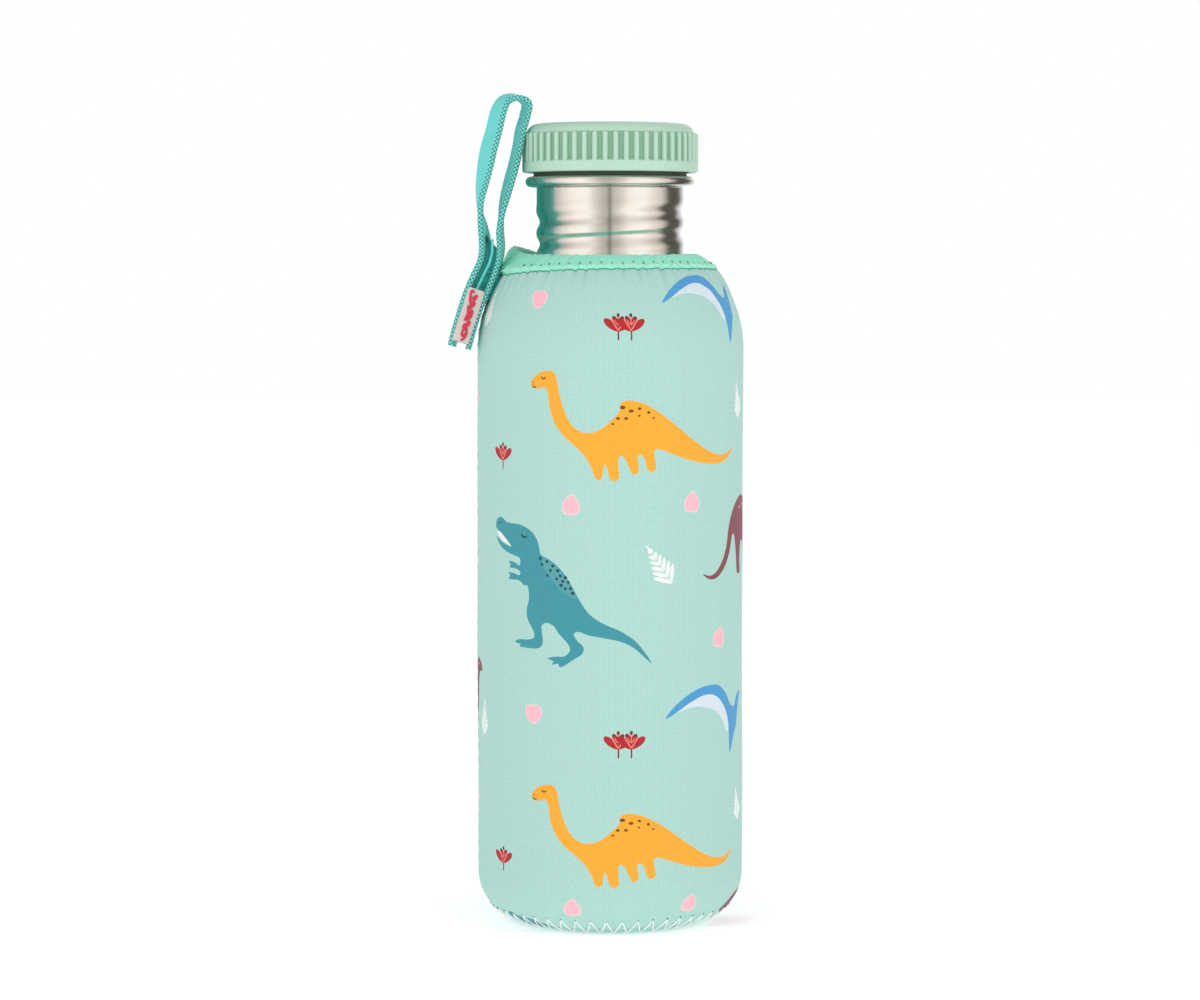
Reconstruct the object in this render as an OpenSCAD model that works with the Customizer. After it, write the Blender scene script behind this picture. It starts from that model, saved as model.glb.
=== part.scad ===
// Kids' water bottle: a single-wall steel bottle with a screw cap, in a fitted neoprene sleeve
// with an elastic mouth and a carry loop. Millimetres, +Z up, origin at the centre of the base.

/* [Steel bottle] */
// Outer diameter of the steel body
steel_d = 64.6; // [50:0.2:90]
// Wall of the steel
steel_wall = 0.6; // [0.4:0.1:1.2]
// Radius of the bottom corner, outside
base_corner = 10.2; // [6:0.2:14]
// Straight length of the body, between corner and shoulder
body_h = 139; // [80:1:220]
// Radius of the shoulder's convex arc
shoulder_r = 26; // [20:0.5:34]
// Radius of the concave arc that turns the shoulder into the neck
neck_fillet = 6; // [4:0.5:9]
// Outer diameter of the neck
neck_d = 38.9; // [32:0.1:47]
// Straight length of the neck, up to the rolled rim
neck_h = 17; // [14:0.5:22]
// How far the rolled rim stands out from the neck
rim_overhang = 2.95; // [2:0.05:4]
// Height of the rolled rim
rim_h = 2.5; // [2:0.1:3.2]
// How deep the base is pushed in at its middle
base_recess = 1.8; // [0.5:0.1:3]
// Radius of the pushed-in middle of the base
recess_r = 15; // [8:0.5:17]

/* [Thread] */
// Rise of the screw thread in one turn
thread_pitch = 5.8; // [4.5:0.1:7]
// How far the rolled thread stands into the neck
thread_depth = 0.8; // [0.6:0.05:1.1]
// Turns of the rolled thread
thread_turns = 1.9; // [1.5:0.05:2.2]
// Height of the thread's upper end below the rim's lower edge
thread_drop = 5.7; // [5:0.1:7]
// Play between the thread crests and the walls they run along
thread_play = 0.3; // [0.2:0.05:0.4]

/* [Cap] */
// Outer diameter of the cap
cap_d = 46.5; // [46:0.1:60]
// Height of the cap
cap_h = 12.8; // [11:0.1:18]
// Wall of the cap's skirt and top
cap_wall = 1.5; // [1.2:0.1:2.2]
// Radius of the cap's rounded top edge
cap_round = 3.4; // [2:0.1:5]
// Height of the plain band under the ribs
cap_band = 2.8; // [2:0.1:4]
// Grip ribs round the cap
rib_count = 52; // [36:1:60]
// Thickness of a half-round rib
rib_w = 1.4; // [0.9:0.05:1.8]
// How far the ribs stand out of the cap's wall
rib_depth = 0.9; // [0.5:0.05:1.2]
// Height of a rib with its rounded top
rib_h = 7.6; // [5:0.1:12]
// Height of the gap between cap and rim, which the seal fills
seal_gap = 1.3; // [1:0.1:2]
// How far the seal's edge stays inside the rim's edge
seal_inset = 2.15; // [1.5:0.05:2.6]
// Wall of the threaded plug
plug_wall = 1.6; // [1.2:0.1:2.2]
// How far the plug reaches below the neck's upper edge
plug_depth = 21; // [19:0.5:23]

/* [Sleeve] */
// Thickness of the sleeve's laminate: lining, foam and printed face
sleeve_wall = 2.5; // [1.8:0.1:4]
// Thickness of the lining, and of the printed face
fabric_wall = 0.4; // [0.3:0.05:0.5]
// Thickness of the laminate where the mouth binding squeezes it
edge_wall = 1.6; // [1.5:0.1:2]
// Room between the sleeve and the steel
sleeve_gap = 0.3; // [0.2:0.05:1]
// Radius at which the side panel is sewn to the base disc
base_seam_r = 28; // [24:0.2:30]
// Room between the neck and the sleeve's drawn-in mouth
mouth_gap = 3.15; // [2.5:0.05:4]
// How wide the binding lies on the sleeve
binding_w = 6.5; // [5:0.1:8]
// Thickness of the binding tape
binding_t = 0.7; // [0.5:0.05:1]
// Slope of the mouth's edge: the angle of its normal above level
mouth_slope = 55; // [45:1:65]
// How far the mouth's edge stays below the top of the neck's fillet
mouth_drop = 1.5; // [1:0.1:3]

/* [Stitches] */
// Thickness of the sewing thread
thread_d = 0.44; // [0.3:0.02:0.6]
// Stitches round the base seam
base_stitches = 49; // [36:1:60]
// Height of one zigzag of the side seam
side_stitch = 3.7; // [3:0.1:5]
// Stitches round the mouth binding
binding_stitches_n = 64; // [40:1:80]

/* [Carry loop] */
// Width of the loop's tape
loop_w = 8.5; // [6:0.1:10]
// Thickness of the loop's tape
loop_t = 1.6; // [0.8:0.1:1.8]
// Length of the folded label
label_l = 14.6; // [10:0.1:16]
// Width of the folded label's front
label_w = 4.6; // [3:0.1:6]

/* [Hidden] */
$fn = 96;

eps = 0.01;
arc_step = 5;        // degrees between the points of a rounded outline
loop_azimuth = 190;  // where the loop is sewn on, seen from above, from +X
seam_azimuth = 176;  // where the side panel's ends meet

// Radii and heights of the steel, from the sizes above
steel_r = steel_d / 2;
neck_r = neck_d / 2;
neck_bore = neck_r - steel_wall;
steel_z = sleeve_wall + sleeve_gap;
corner_z = steel_z + base_corner;
shoulder_z = corner_z + body_h;
shoulder_a = acos(1 - (steel_r - neck_r) / (shoulder_r + neck_fillet));
neck_z = shoulder_z + (shoulder_r + neck_fillet) * sin(shoulder_a);
rim_z = neck_z + neck_h;
rim_r = neck_r + rim_overhang;
rim_top = rim_z + rim_h;

// The rolled thread and the plug's thread that runs below it
ridge_top_z = rim_z - thread_drop;
ridge_top_a = 40;    // direction of the thread's upper end, from +X
ridge_root = 2.6;
ridge_tip = 1.4;
ridge_sunk = 0.3;    // how far a thread's root is sunk into its wall
thread_steps = 36;   // rings of a thread in one turn
flank_gap = 0.35;    // room between the two threads' flanks
plug_root = 2.6;
plug_tip = 1.2;
plug_r = neck_bore - thread_depth - 2 * thread_play;
plug_crest = neck_bore - thread_play;
plug_thread_z = ridge_top_z - (ridge_root + plug_root) / 2 + flank_gap;
plug_turns = thread_turns - 0.25;
plug_z = rim_top - plug_depth;

// The cap over the rim
cap_r = cap_d / 2;
cap_z = rim_top + seal_gap;
cap_top = cap_z + cap_h;
cap_wall_r = cap_r - rib_depth;
cap_bore = cap_wall_r - cap_wall;
flange_t = 1.6;
running = 0.1;       // room between pieces that turn or slide on each other
flange_z = cap_z + 0.2;
seal_r = rim_r - seal_inset;

// The sleeve's outline
sleeve_r = steel_r + sleeve_gap + sleeve_wall;
outer_corner = base_corner + sleeve_gap + sleeve_wall;
corner_r = steel_r - base_corner;
mouth_r = neck_r + mouth_gap;
mouth_z = neck_z - mouth_drop;
fold_r = mouth_r + binding_w * sin(mouth_slope);
fold_z = mouth_z - binding_w * cos(mouth_slope);
draw_h = fold_z - shoulder_z;
draw_a = 2 * atan((sleeve_r - fold_r) / draw_h);
draw_r = draw_h / sin(draw_a);

// The line that the loop lies along: the side panel's outline up to the fold, then straight in
// to the cap's edge, and level with that above it
function rest_r(z) = z < shoulder_z ? sleeve_r
    : z < fold_z ? sleeve_r - draw_r + sqrt(draw_r * draw_r - (z - shoulder_z) * (z - shoulder_z))
    : fold_r + (cap_r - fold_r) * min(1, (z - fold_z) / (cap_z - fold_z));

// The loop's tape: its middle line in the upright plane through the axis at loop_azimuth.
// Each point is [distance out from rest_r, height above the fold, twist]; the hinge gap splits
// off the tails.
hinge_z = fold_z + 3.59;
hinge_gap = 1.2;
loop_lay = [
    [2.9, -20.41, -8], [2.05, -16.41, -8], [1.6, -12.41, -8], [1.49, -8.41, -8],
    [1.49, -4.41, -9], [2.4, -0.61, -10], [2.23, 3.09, -12], [2.46, 6.59, -14],
    [3.38, 10.59, -13], [3.79, 15.09, -6], [3.7, 19.09, 1], [3.31, 23.59, 4],
    [2.35, 28.59, 4], [1.35, 33.09, 4], [0.65, 37.09, 4], [-0.55, 41.09, 4],
    [-0.85, 44.19, 2], [1.75, 45.69, -5], [4.75, 44.99, -11], [6.45, 42.19, -16],
    [7.75, 37.09, -17], [9.15, 32.09, -18], [10.15, 27.09, -15], [10.33, 22.59, -7],
    [10.11, 18.59, 3], [9.39, 15.09, 9], [8.16, 11.59, 18], [7.03, 8.09, 22],
    [6.49, 5.09, 22], [6.75, 2.09, 19], [7.15, -1.21, 17], [6.57, -5.01, 15],
    [6.26, -9.01, 14], [6.3, -13.21, 14], [6.71, -16.71, 14], [7.21, -19.51, 14]];
loop_route = [for (p = loop_lay) [rest_r(fold_z + p[1]) + p[0], fold_z + p[1], p[2]]];
route_steps = 3;     // rings between two points of the route
label_t = 0.45;
label_front = loop_w / 2 + 0.5;   // how far the label's front stands before the tape's middle
label_back = 2;                   // how far its two ends reach behind the tape's middle
label_z = fold_z - 4.61;
label_top = [rest_r(label_z) + 5.18, label_z];
label_lean = 2.46;                // how much more than the panel beside it the label leans out
label_tilt = label_lean + atan((rest_r(label_z - label_l) - rest_r(label_z)) / label_l);

// An arc's points: centre c, radius r, from angle a to angle b
function arc(c, r, a, b) =
    let (n = max(1, ceil(abs(b - a) / arc_step)))
    [for (i = [0:n]) let (t = a + (b - a) * i / n) c + r * [cos(t), sin(t)]];
function reversed(list) = [for (i = [len(list) - 1:-1:0]) list[i]];
function around(r, a, z) = [r * cos(a), r * sin(a), z];

// The steel's outer outline from the corner's upper end to the rim, moved inwards by d
function steel_outline(d) = concat(
    [[steel_r - d, corner_z]],
    arc([steel_r - shoulder_r, shoulder_z], shoulder_r - d, 0, shoulder_a),
    arc([neck_r + neck_fillet, neck_z], neck_fillet + d, 180 + shoulder_a, 180),
    [[neck_r - d, rim_z + rim_h / 2]]);

// The sleeve's outline from seam to mouth, at a share s of the laminate: 0 inside, 1 outside
function sleeve_outline(s) =
    let (full = sleeve_wall * (1 - s), thin = edge_wall * (1 - s), n = ceil(draw_a / 4))
    concat(
        arc([corner_r, corner_z], outer_corner - full, seam_angle(full), 0),
        [for (i = [0:n])
            let (a = draw_a * i / n, d = full + (thin - full) * i / n)
            [sleeve_r - draw_r, shoulder_z] + (draw_r - d) * [cos(a), sin(a)]],
        [mouth_point(0, -thin), mouth_point(binding_w, -thin)]);
// Where the corner's arc, moved inwards by d, meets the base seam's radius
function seam_angle(d) = -acos((base_seam_r - corner_r) / (outer_corner - d));
// A point of the mouth: distance along the edge from the fold, and out of the face
function mouth_point(along, out) =
    [fold_r, fold_z] + along * [-sin(mouth_slope), cos(mouth_slope)]
    + out * [cos(mouth_slope), sin(mouth_slope)];

// A helical thread, one polyhedron: top at height z and angle a, running down to the right hand
// rule, root at radius r0 and crest at r1, fading in and out over a sixth of a turn
module thread(z, a, turns, r0, r1, root, tip) {
    n = ceil(turns * thread_steps);
    fade = thread_steps / 6;
    points = [for (i = [0:n])
        let (share = max(0.05, min(1, i / fade, (n - i) / fade)),
             crest = r0 + (r1 - r0) * share,
             w = tip + (root - tip) * (1 - share),
             t = a - i * 360 / thread_steps,
             h = z - thread_pitch * i / thread_steps)
        for (p = [[r0, -root / 2], [crest, -w / 2], [crest, w / 2], [r0, root / 2]])
            around(p[0], t, h + p[1])];
    sweep(points, n, 4, r1 > r0);
}

// Skins n + 1 rings of k points; the rings run the other way round when flipped
module sweep(points, n, k, flipped) {
    sides = [for (i = [0:n - 1], j = [0:k - 1])
        let (m = (j + 1) % k) [i * k + j, i * k + m, (i + 1) * k + m, (i + 1) * k + j]];
    ends = [[for (j = [k - 1:-1:0]) j], [for (j = [0:k - 1]) n * k + j]];
    halves = [for (f = sides, h = [[0, 1, 2], [0, 2, 3]]) [f[h[0]], f[h[1]], f[h[2]]]];
    faces = concat(halves, ends);
    polyhedron(points, flipped ? [for (f = faces) reversed(f)] : faces);
}

// A short straight piece of thread from p to q, with its ends drawn back from its neighbours
module stitch(p, q) {
    v = q - p;
    l = norm(v);
    back = thread_d * 0.6;
    translate(p) rotate([0, acos(v[2] / l), atan2(v[1], v[0])]) translate([0, 0, back])
        cylinder(d = thread_d, h = l - 2 * back);
}

// Steel tube, shoulder, neck and rolled rim, with the thread rolled into the neck
module bottle_body() {
    bead = rim_h / 2;
    color("silver") union() {
        rotate_extrude() difference() {
            union() {
                polygon(concat(steel_outline(0), reversed(steel_outline(steel_wall))));
                translate([neck_bore, rim_z]) square([rim_r - bead - neck_bore, rim_h]);
                translate([rim_r - bead, rim_z + bead]) circle(bead);
            }
            translate([neck_bore - eps, rim_top - steel_wall]) square([eps * 2, steel_wall]);
        }
        thread(ridge_top_z, ridge_top_a, thread_turns, neck_bore + ridge_sunk,
               neck_bore - thread_depth, ridge_root, ridge_tip);
    }
}

// Steel base, welded to the body at the top of its corner, with a pushed-in middle
module bottle_base() {
    slope = base_recess * 1.5;
    bottom = [[corner_r, steel_z], [recess_r + slope, steel_z], [recess_r, steel_z + base_recess],
              [0, steel_z + base_recess]];
    color("silver") rotate_extrude() polygon(concat(
        reversed(arc([corner_r, corner_z], base_corner, -90, 0)), bottom,
        reversed([for (p = bottom) p + [0, steel_wall]]),
        arc([corner_r, corner_z], base_corner - steel_wall, -90, 0)));
}

// Cap: skirt with a plain band and ribs above it, and a rounded top; open for the plug's flange
module cap_shell() {
    rib_z = cap_z + cap_band;
    color("darkseagreen") union() {
        rotate_extrude() polygon(concat(
            [[cap_bore, cap_z], [cap_r - 0.5, cap_z], [cap_r, cap_z + 0.5], [cap_r, rib_z],
             [cap_wall_r, rib_z]],
            arc([cap_wall_r - cap_round, cap_top - cap_round], cap_round, 0, 90),
            [[0, cap_top], [0, cap_top - cap_wall], [cap_bore, cap_top - cap_wall]]));
        for (i = [0:rib_count - 1]) rotate([0, 0, (i + 0.5) * 360 / rib_count])
            translate([cap_r - rib_w / 2, 0, rib_z - 0.5]) {
                cylinder(d = rib_w, h = rib_h + 0.5 - rib_w / 2);
                translate([0, 0, rib_h + 0.5 - rib_w / 2]) sphere(d = rib_w);
            }
    }
}

// Threaded plug: a closed cup with a flange that is welded into the cap
module cap_plug() {
    color("gainsboro") union() {
        rotate_extrude() polygon([
            [0, plug_z], [plug_r - 1, plug_z], [plug_r, plug_z + 1], [plug_r, flange_z],
            [cap_bore, flange_z], [cap_bore, flange_z + flange_t],
            [plug_r - plug_wall, flange_z + flange_t],
            [plug_r - plug_wall, plug_z + plug_wall], [0, plug_z + plug_wall]]);
        thread(plug_thread_z, ridge_top_a, plug_turns, plug_r - ridge_sunk,
               plug_crest, plug_root, plug_tip);
    }
}

// Silicone seal that the cap presses on the rim
module cap_gasket() {
    bottom = rim_top + running;
    color("darkolivegreen") rotate_extrude() translate([plug_r + running, bottom])
        square([seal_r - plug_r - running, flange_z - running - bottom]);
}

// One layer of the sleeve's side panel, from share s0 to share s1 of the laminate
module sleeve_layer(s0, s1) {
    rotate_extrude() polygon(concat(sleeve_outline(s1), reversed(sleeve_outline(s0))));
}
fabric_share = fabric_wall / sleeve_wall;
module sleeve_face() color("mediumaquamarine") sleeve_layer(1 - fabric_share, 1);
module sleeve_foam() color("darkgray") sleeve_layer(fabric_share, 1 - fabric_share);
module sleeve_lining() color("lightseagreen") sleeve_layer(0, fabric_share);

// Base disc of the sleeve, turned up at its sewn edge
module sleeve_base() {
    color("mediumaquamarine") rotate_extrude() polygon(concat(
        [[0, 0]], arc([corner_r, corner_z], outer_corner, -90, seam_angle(0)),
        reversed(arc([corner_r, corner_z], outer_corner - sleeve_wall, -90, seam_angle(sleeve_wall))),
        [[0, sleeve_wall]]));
}

// Elastic tape folded over the sleeve's mouth
module mouth_binding() {
    inside = -edge_wall - binding_t;
    top = binding_w + binding_t;
    color("aquamarine") rotate_extrude() polygon([
        mouth_point(0, 0), mouth_point(0, binding_t), mouth_point(top - binding_t, binding_t),
        mouth_point(top, 0), mouth_point(top, -edge_wall), mouth_point(binding_w, inside),
        mouth_point(1, inside), mouth_point(1, -edge_wall),
        mouth_point(binding_w, -edge_wall), mouth_point(binding_w, 0)]);
}

// Zigzag that joins the side panel to the base disc
module base_seam_thread() {
    step = 360 / base_stitches;
    rise = 9;        // degrees along the corner from the seam to each end of a stitch
    middle = seam_angle(0);
    reach = outer_corner + thread_d * 0.2;
    function at(a, side) = around(corner_r + reach * cos(middle + side * rise), a,
                                  corner_z + reach * sin(middle + side * rise));
    color("azure") for (i = [0:base_stitches - 1]) {
        stitch(at(i * step, -0.6), at((i + 0.5) * step, 1));
        stitch(at((i + 0.5) * step, 1), at((i + 1) * step, -0.6));
    }
}

// Zigzag that joins the side panel's two ends
module side_seam_thread() {
    n = floor((shoulder_z - corner_z) / side_stitch) - 1;
    half = 1.6 / sleeve_r * 180 / PI;
    first = corner_z + side_stitch / 2;
    reach = sleeve_r - thread_d * 0.25;
    color("azure") for (i = [0:n - 1]) let (z = first + i * side_stitch) {
        stitch(around(reach, seam_azimuth - half, z),
               around(reach, seam_azimuth + half, z + side_stitch / 2));
        stitch(around(reach, seam_azimuth + half, z + side_stitch / 2),
               around(reach, seam_azimuth - half, z + side_stitch));
    }
}

// Running stitches through the binding, near its lower edge
module binding_stitches() {
    step = 360 / binding_stitches_n;
    p = mouth_point(1.6, binding_t + thread_d * 0.1);
    color("aquamarine") for (i = [0:binding_stitches_n - 1])
        stitch(around(p[0], (i - 0.42) * step, p[1]), around(p[0], (i + 0.42) * step, p[1]));
}

// The loop's route as a smooth curve through its points
function spline(i, t) =
    let (n = len(loop_route) - 1, p0 = loop_route[max(0, i - 1)], p1 = loop_route[i],
         p2 = loop_route[min(n, i + 1)], p3 = loop_route[min(n, i + 2)])
    p1 + t * (p2 - p0) / 2 + t * t * (p0 - 2.5 * p1 + 2 * p2 - p3 / 2)
    + t * t * t * (1.5 * (p1 - p2) + (p3 - p0) / 2);
route = [for (i = [0:len(loop_route) - 2], j = [0:route_steps - 1]) spline(i, j / route_steps),
    loop_route[len(loop_route) - 1]];
out_way = [cos(loop_azimuth), sin(loop_azimuth), 0];
side_way = [-sin(loop_azimuth), cos(loop_azimuth), 0];
function on_plane(u, z, side = 0) = u * out_way + [0, 0, z] + side * side_way;

// Tape along part of the route: a flat strip whose width turns about its run by the twist
module tape(first, last) {
    points = [for (i = [first:last])
        let (a = route[max(0, i - 1)], b = route[min(len(route) - 1, i + 1)],
             d = [b[0] - a[0], b[1] - a[1]] / norm([b[0] - a[0], b[1] - a[1]]),
             along = d[0] * out_way + [0, 0, d[1]], twist = route[i][2],
             wide = cos(twist) * side_way + sin(twist) * cross(along, side_way),
             thick = cross(along, wide), c = on_plane(route[i][0], route[i][1]))
        for (k = [[-1, -1], [1, -1], [1, 1], [-1, 1]])
            c + k[0] * wide * loop_w / 2 + k[1] * thick * loop_t / 2];
    sweep(points, last - first, 4, true);
}
// The route's stretch above the hinge gap is the loop that swings, the rest its sewn tails
above = [for (i = [0:len(route) - 1]) if (route[i][1] > hinge_z + hinge_gap) i];
below = [for (i = [0:len(route) - 1]) if (route[i][1] < hinge_z - hinge_gap) i];
inner_tail = [for (i = below) if (i < above[0]) i];
outer_tail = [for (i = below) if (i > above[0]) i];

module carry_loop() color("turquoise") tape(above[0], above[len(above) - 1]);
module loop_tails() color("turquoise") {
    tape(inner_tail[0], inner_tail[len(inner_tail) - 1]);
    tape(outer_tail[0], outer_tail[len(outer_tail) - 1]);
}

// Woven label, folded round a flat front with both ends together between the tails
module loop_label() {
    half = label_w / 2;
    neck = half - label_t;
    color("whitesmoke") translate(on_plane(label_top[0], label_top[1]))
        rotate([0, 0, loop_azimuth]) rotate([0, 180 - label_tilt, 0])
        linear_extrude(label_l) difference() {
            polygon([[half, label_front], [-half, label_front], [-half, label_front - neck],
                     [-label_t, label_front - half - neck], [-label_t, -label_back],
                     [label_t, -label_back], [label_t, label_front - half - neck],
                     [half, label_front - neck]]);
            polygon([[half - label_t, label_front - label_t],
                     [-half + label_t, label_front - label_t],
                     [-half + label_t, label_front - neck], [0, label_front - 2 * neck],
                     [half - label_t, label_front - neck]]);
        }
}

// Dense stitches that hold both tails at the mouth
module loop_bartack() {
    rows = 5;
    pitch = 0.9;
    color("paleturquoise") for (i = [0:rows - 1]) let (z = fold_z - 1.2 - i * pitch)
        stitch(on_plane(rest_r(z) - 0.5 - i * 0.23, z), on_plane(rest_r(z) + 8.2 - i * 0.05, z));
}

bottle_body();
bottle_base();
cap_shell();
cap_plug();
cap_gasket();
sleeve_face();
sleeve_foam();
sleeve_lining();
sleeve_base();
mouth_binding();
base_seam_thread();
side_seam_thread();
binding_stitches();
carry_loop();
loop_tails();
loop_label();
loop_bartack();
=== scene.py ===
"""Kids' water bottle: a steel bottle with a screw cap, in a printed neoprene sleeve with a loop.

Each sub-assembly is a class with its sizes in millimetres. Its surfaces are numpy arrays of points
written as formulas, so nothing is sculpted or traced. The CAD frame holds every piece.
"""

import logging
import math
from dataclasses import dataclass
from enum import Enum
import bmesh
import bpy
import numpy as np
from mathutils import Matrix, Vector
from mathutils.geometry import delaunay_2d_cdt


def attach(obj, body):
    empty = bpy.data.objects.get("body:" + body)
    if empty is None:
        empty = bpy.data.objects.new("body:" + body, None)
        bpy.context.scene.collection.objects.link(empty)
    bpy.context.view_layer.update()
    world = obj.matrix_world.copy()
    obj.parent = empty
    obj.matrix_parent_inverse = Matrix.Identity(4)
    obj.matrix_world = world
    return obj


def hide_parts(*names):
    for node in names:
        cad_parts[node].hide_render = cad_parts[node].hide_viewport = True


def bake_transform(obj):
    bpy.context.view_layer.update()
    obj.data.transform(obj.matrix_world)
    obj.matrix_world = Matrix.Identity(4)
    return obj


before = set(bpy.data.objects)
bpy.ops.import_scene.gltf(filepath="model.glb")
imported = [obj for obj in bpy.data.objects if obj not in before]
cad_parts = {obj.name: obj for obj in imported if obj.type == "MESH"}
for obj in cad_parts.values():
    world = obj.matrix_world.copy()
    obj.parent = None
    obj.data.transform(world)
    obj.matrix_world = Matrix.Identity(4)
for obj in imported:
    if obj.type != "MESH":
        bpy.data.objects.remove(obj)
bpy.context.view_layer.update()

log = logging.getLogger("bottle")
MM = 0.001  # metres in a millimetre
SEED = 7  # start of every random draw
UP = np.array([0.0, 0.0, 1.0])
WELD_GAP = 1e-7  # metres; points closer than this are one point


# ---------------------------------------------------------------- small helpers


def linear(code: str) -> tuple[float, float, float, float]:
    """Turns an sRGB hex colour into a linear RGBA value.

    Args:
        code: six hex digits, such as "FFBA48".

    Returns:
        The colour Blender's sockets take, with alpha 1.
    """
    parts = [int(code[i : i + 2], 16) / 255 for i in (0, 2, 4)]
    rgb = [c / 12.92 if c <= 0.04045 else ((c + 0.055) / 1.055) ** 2.4 for c in parts]
    return (*rgb, 1.0)


def smoothstep(x: np.ndarray, low: float, high: float) -> np.ndarray:
    """Rises smoothly from 0 at low to 1 at high.

    Args:
        x: values of any shape.
        low: where the rise starts.
        high: where it ends.

    Returns:
        Values of the same shape.
    """
    t = np.clip((np.asarray(x, float) - low) / (high - low), 0, 1)
    return t * t * (3 - 2 * t)


def bump(x: np.ndarray, width: float) -> np.ndarray:
    """A bell of height 1 round zero: the exponential of minus (x / width) squared."""
    return np.exp(-((np.asarray(x, float) / width) ** 2))


def turn_off(a: np.ndarray, b: float) -> np.ndarray:
    """The signed angle from b to a in degrees, between -180 and 180."""
    return (np.asarray(a, float) - b + 180) % 360 - 180


def arc(cx: float, cy: float, r: float, a: float, b: float, n: int) -> np.ndarray:
    """Points of a circular arc.

    Args:
        cx: the centre's first coordinate.
        cy: the centre's second coordinate.
        r: the radius.
        a: the first angle in degrees.
        b: the last angle in degrees.
        n: how many points.

    Returns:
        An (n, 2) array.
    """
    t = np.radians(np.linspace(a, b, n))
    return np.c_[cx + r * np.cos(t), cy + r * np.sin(t)]


def along(line: np.ndarray, count: int | None = None, step: float | None = None) -> np.ndarray:
    """Spreads points evenly along a polyline.

    Args:
        line: an (n, k) polyline; distance uses its first three columns at most.
        count: how many points to give back.
        step: the spacing, used when count is None.

    Returns:
        The evenly spaced polyline.
    """
    d = np.r_[0, np.cumsum(np.linalg.norm(np.diff(line[:, :3], axis=0), axis=1))]
    n = count or max(2, int(round(d[-1] / step)) + 1)
    s = np.linspace(0, d[-1], n)
    return np.stack([np.interp(s, d, line[:, k]) for k in range(line.shape[1])], 1)


def spline(points: np.ndarray, steps: int, closed: bool) -> np.ndarray:
    """A Catmull-Rom curve through points.

    Args:
        points: an (n, k) array of control points.
        steps: how many points per stretch.
        closed: whether the curve returns to its first point.

    Returns:
        The curve's points.
    """
    p = np.asarray(points, float)
    if closed:
        q = np.concatenate([p[-1:], p, p[:2]])
    else:
        q = np.concatenate([2 * p[:1] - p[1:2], p, 2 * p[-1:] - p[-2:-1]])
    t = (np.arange(steps) / steps)[None, :, None]
    a, b, c, d = (q[i : len(q) - 3 + i, None, :] for i in range(4))
    curve = 0.5 * (
        2 * b + (c - a) * t + (2 * a - 5 * b + 4 * c - d) * t**2 + (3 * b - a - 3 * c + d) * t**3
    )
    out = curve.reshape(-1, p.shape[1])
    return out if closed else np.concatenate([out, p[-1:]])


def around(r: np.ndarray, azimuth: np.ndarray, z: np.ndarray) -> np.ndarray:
    """Points from cylinder coordinates: radius, azimuth in degrees from +X, and height."""
    t = np.radians(azimuth)
    return np.stack(np.broadcast_arrays(r * np.cos(t), r * np.sin(t), z), -1)


def weld(obj: bpy.types.Object) -> None:
    """Merges points that lie on each other, which closes poles and pinched ends.

    Args:
        obj: the mesh object.
    """
    work = bmesh.new()
    work.from_mesh(obj.data)
    bmesh.ops.remove_doubles(work, verts=work.verts, dist=WELD_GAP)
    loose = [e for e in work.edges if not e.link_faces]
    bmesh.ops.delete(work, geom=loose, context="EDGES")
    work.to_mesh(obj.data)
    work.free()


def new_object(
    name: str, points: np.ndarray, faces: np.ndarray, finish: list, smooth: bool = True
) -> bpy.types.Object:
    """Makes a mesh object from millimetre points.

    Args:
        name: the piece's name.
        points: (n, 3) points in millimetres.
        faces: (m, 3) or (m, 4) vertex numbers.
        finish: its materials.
        smooth: whether it shades smoothly.

    Returns:
        The new object, linked to the scene.
    """
    mesh = bpy.data.meshes.new(name)
    mesh.from_pydata((np.asarray(points) * MM).tolist(), [], np.asarray(faces).tolist())
    mesh.polygons.foreach_set("use_smooth", [smooth] * len(mesh.polygons))
    for m in finish:
        mesh.materials.append(m)
    mesh.update()
    obj = bpy.data.objects.new(name, mesh)
    bpy.context.scene.collection.objects.link(obj)
    return obj


def set_uv(obj: bpy.types.Object, uv: np.ndarray) -> None:
    """Writes a UV map in millimetres.

    Args:
        obj: the mesh object.
        uv: (n, 2), one pair per vertex, or (loops, 2), one pair per corner.
    """
    layer = obj.data.uv_layers.new(name="UVMap")
    if len(uv) == len(obj.data.vertices) and len(uv) != len(obj.data.loops):
        corner = np.empty(len(obj.data.loops), np.int32)
        obj.data.loops.foreach_get("vertex_index", corner)
        uv = uv[corner]
    layer.data.foreach_set("uv", np.asarray(uv, np.float32).ravel())


def grid_faces(n: int, m: int, wrap_n: bool, wrap_m: bool) -> np.ndarray:
    """Quads of an n by m grid of points, row after row.

    Args:
        n: rows.
        m: points in a row.
        wrap_n: whether the last row meets the first.
        wrap_m: whether each row closes.

    Returns:
        (k, 4) vertex numbers.
    """
    i = np.arange(n if wrap_n else n - 1)[:, None]
    j = np.arange(m if wrap_m else m - 1)[None, :]
    i2, j2 = (i + 1) % n, (j + 1) % m
    quads = [i * m + j, i * m + j2, i2 * m + j2, i2 * m + j]
    whole = (i.shape[0], j.shape[1])
    return np.stack([np.broadcast_to(q, whole) for q in quads], -1).reshape(-1, 4)


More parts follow.
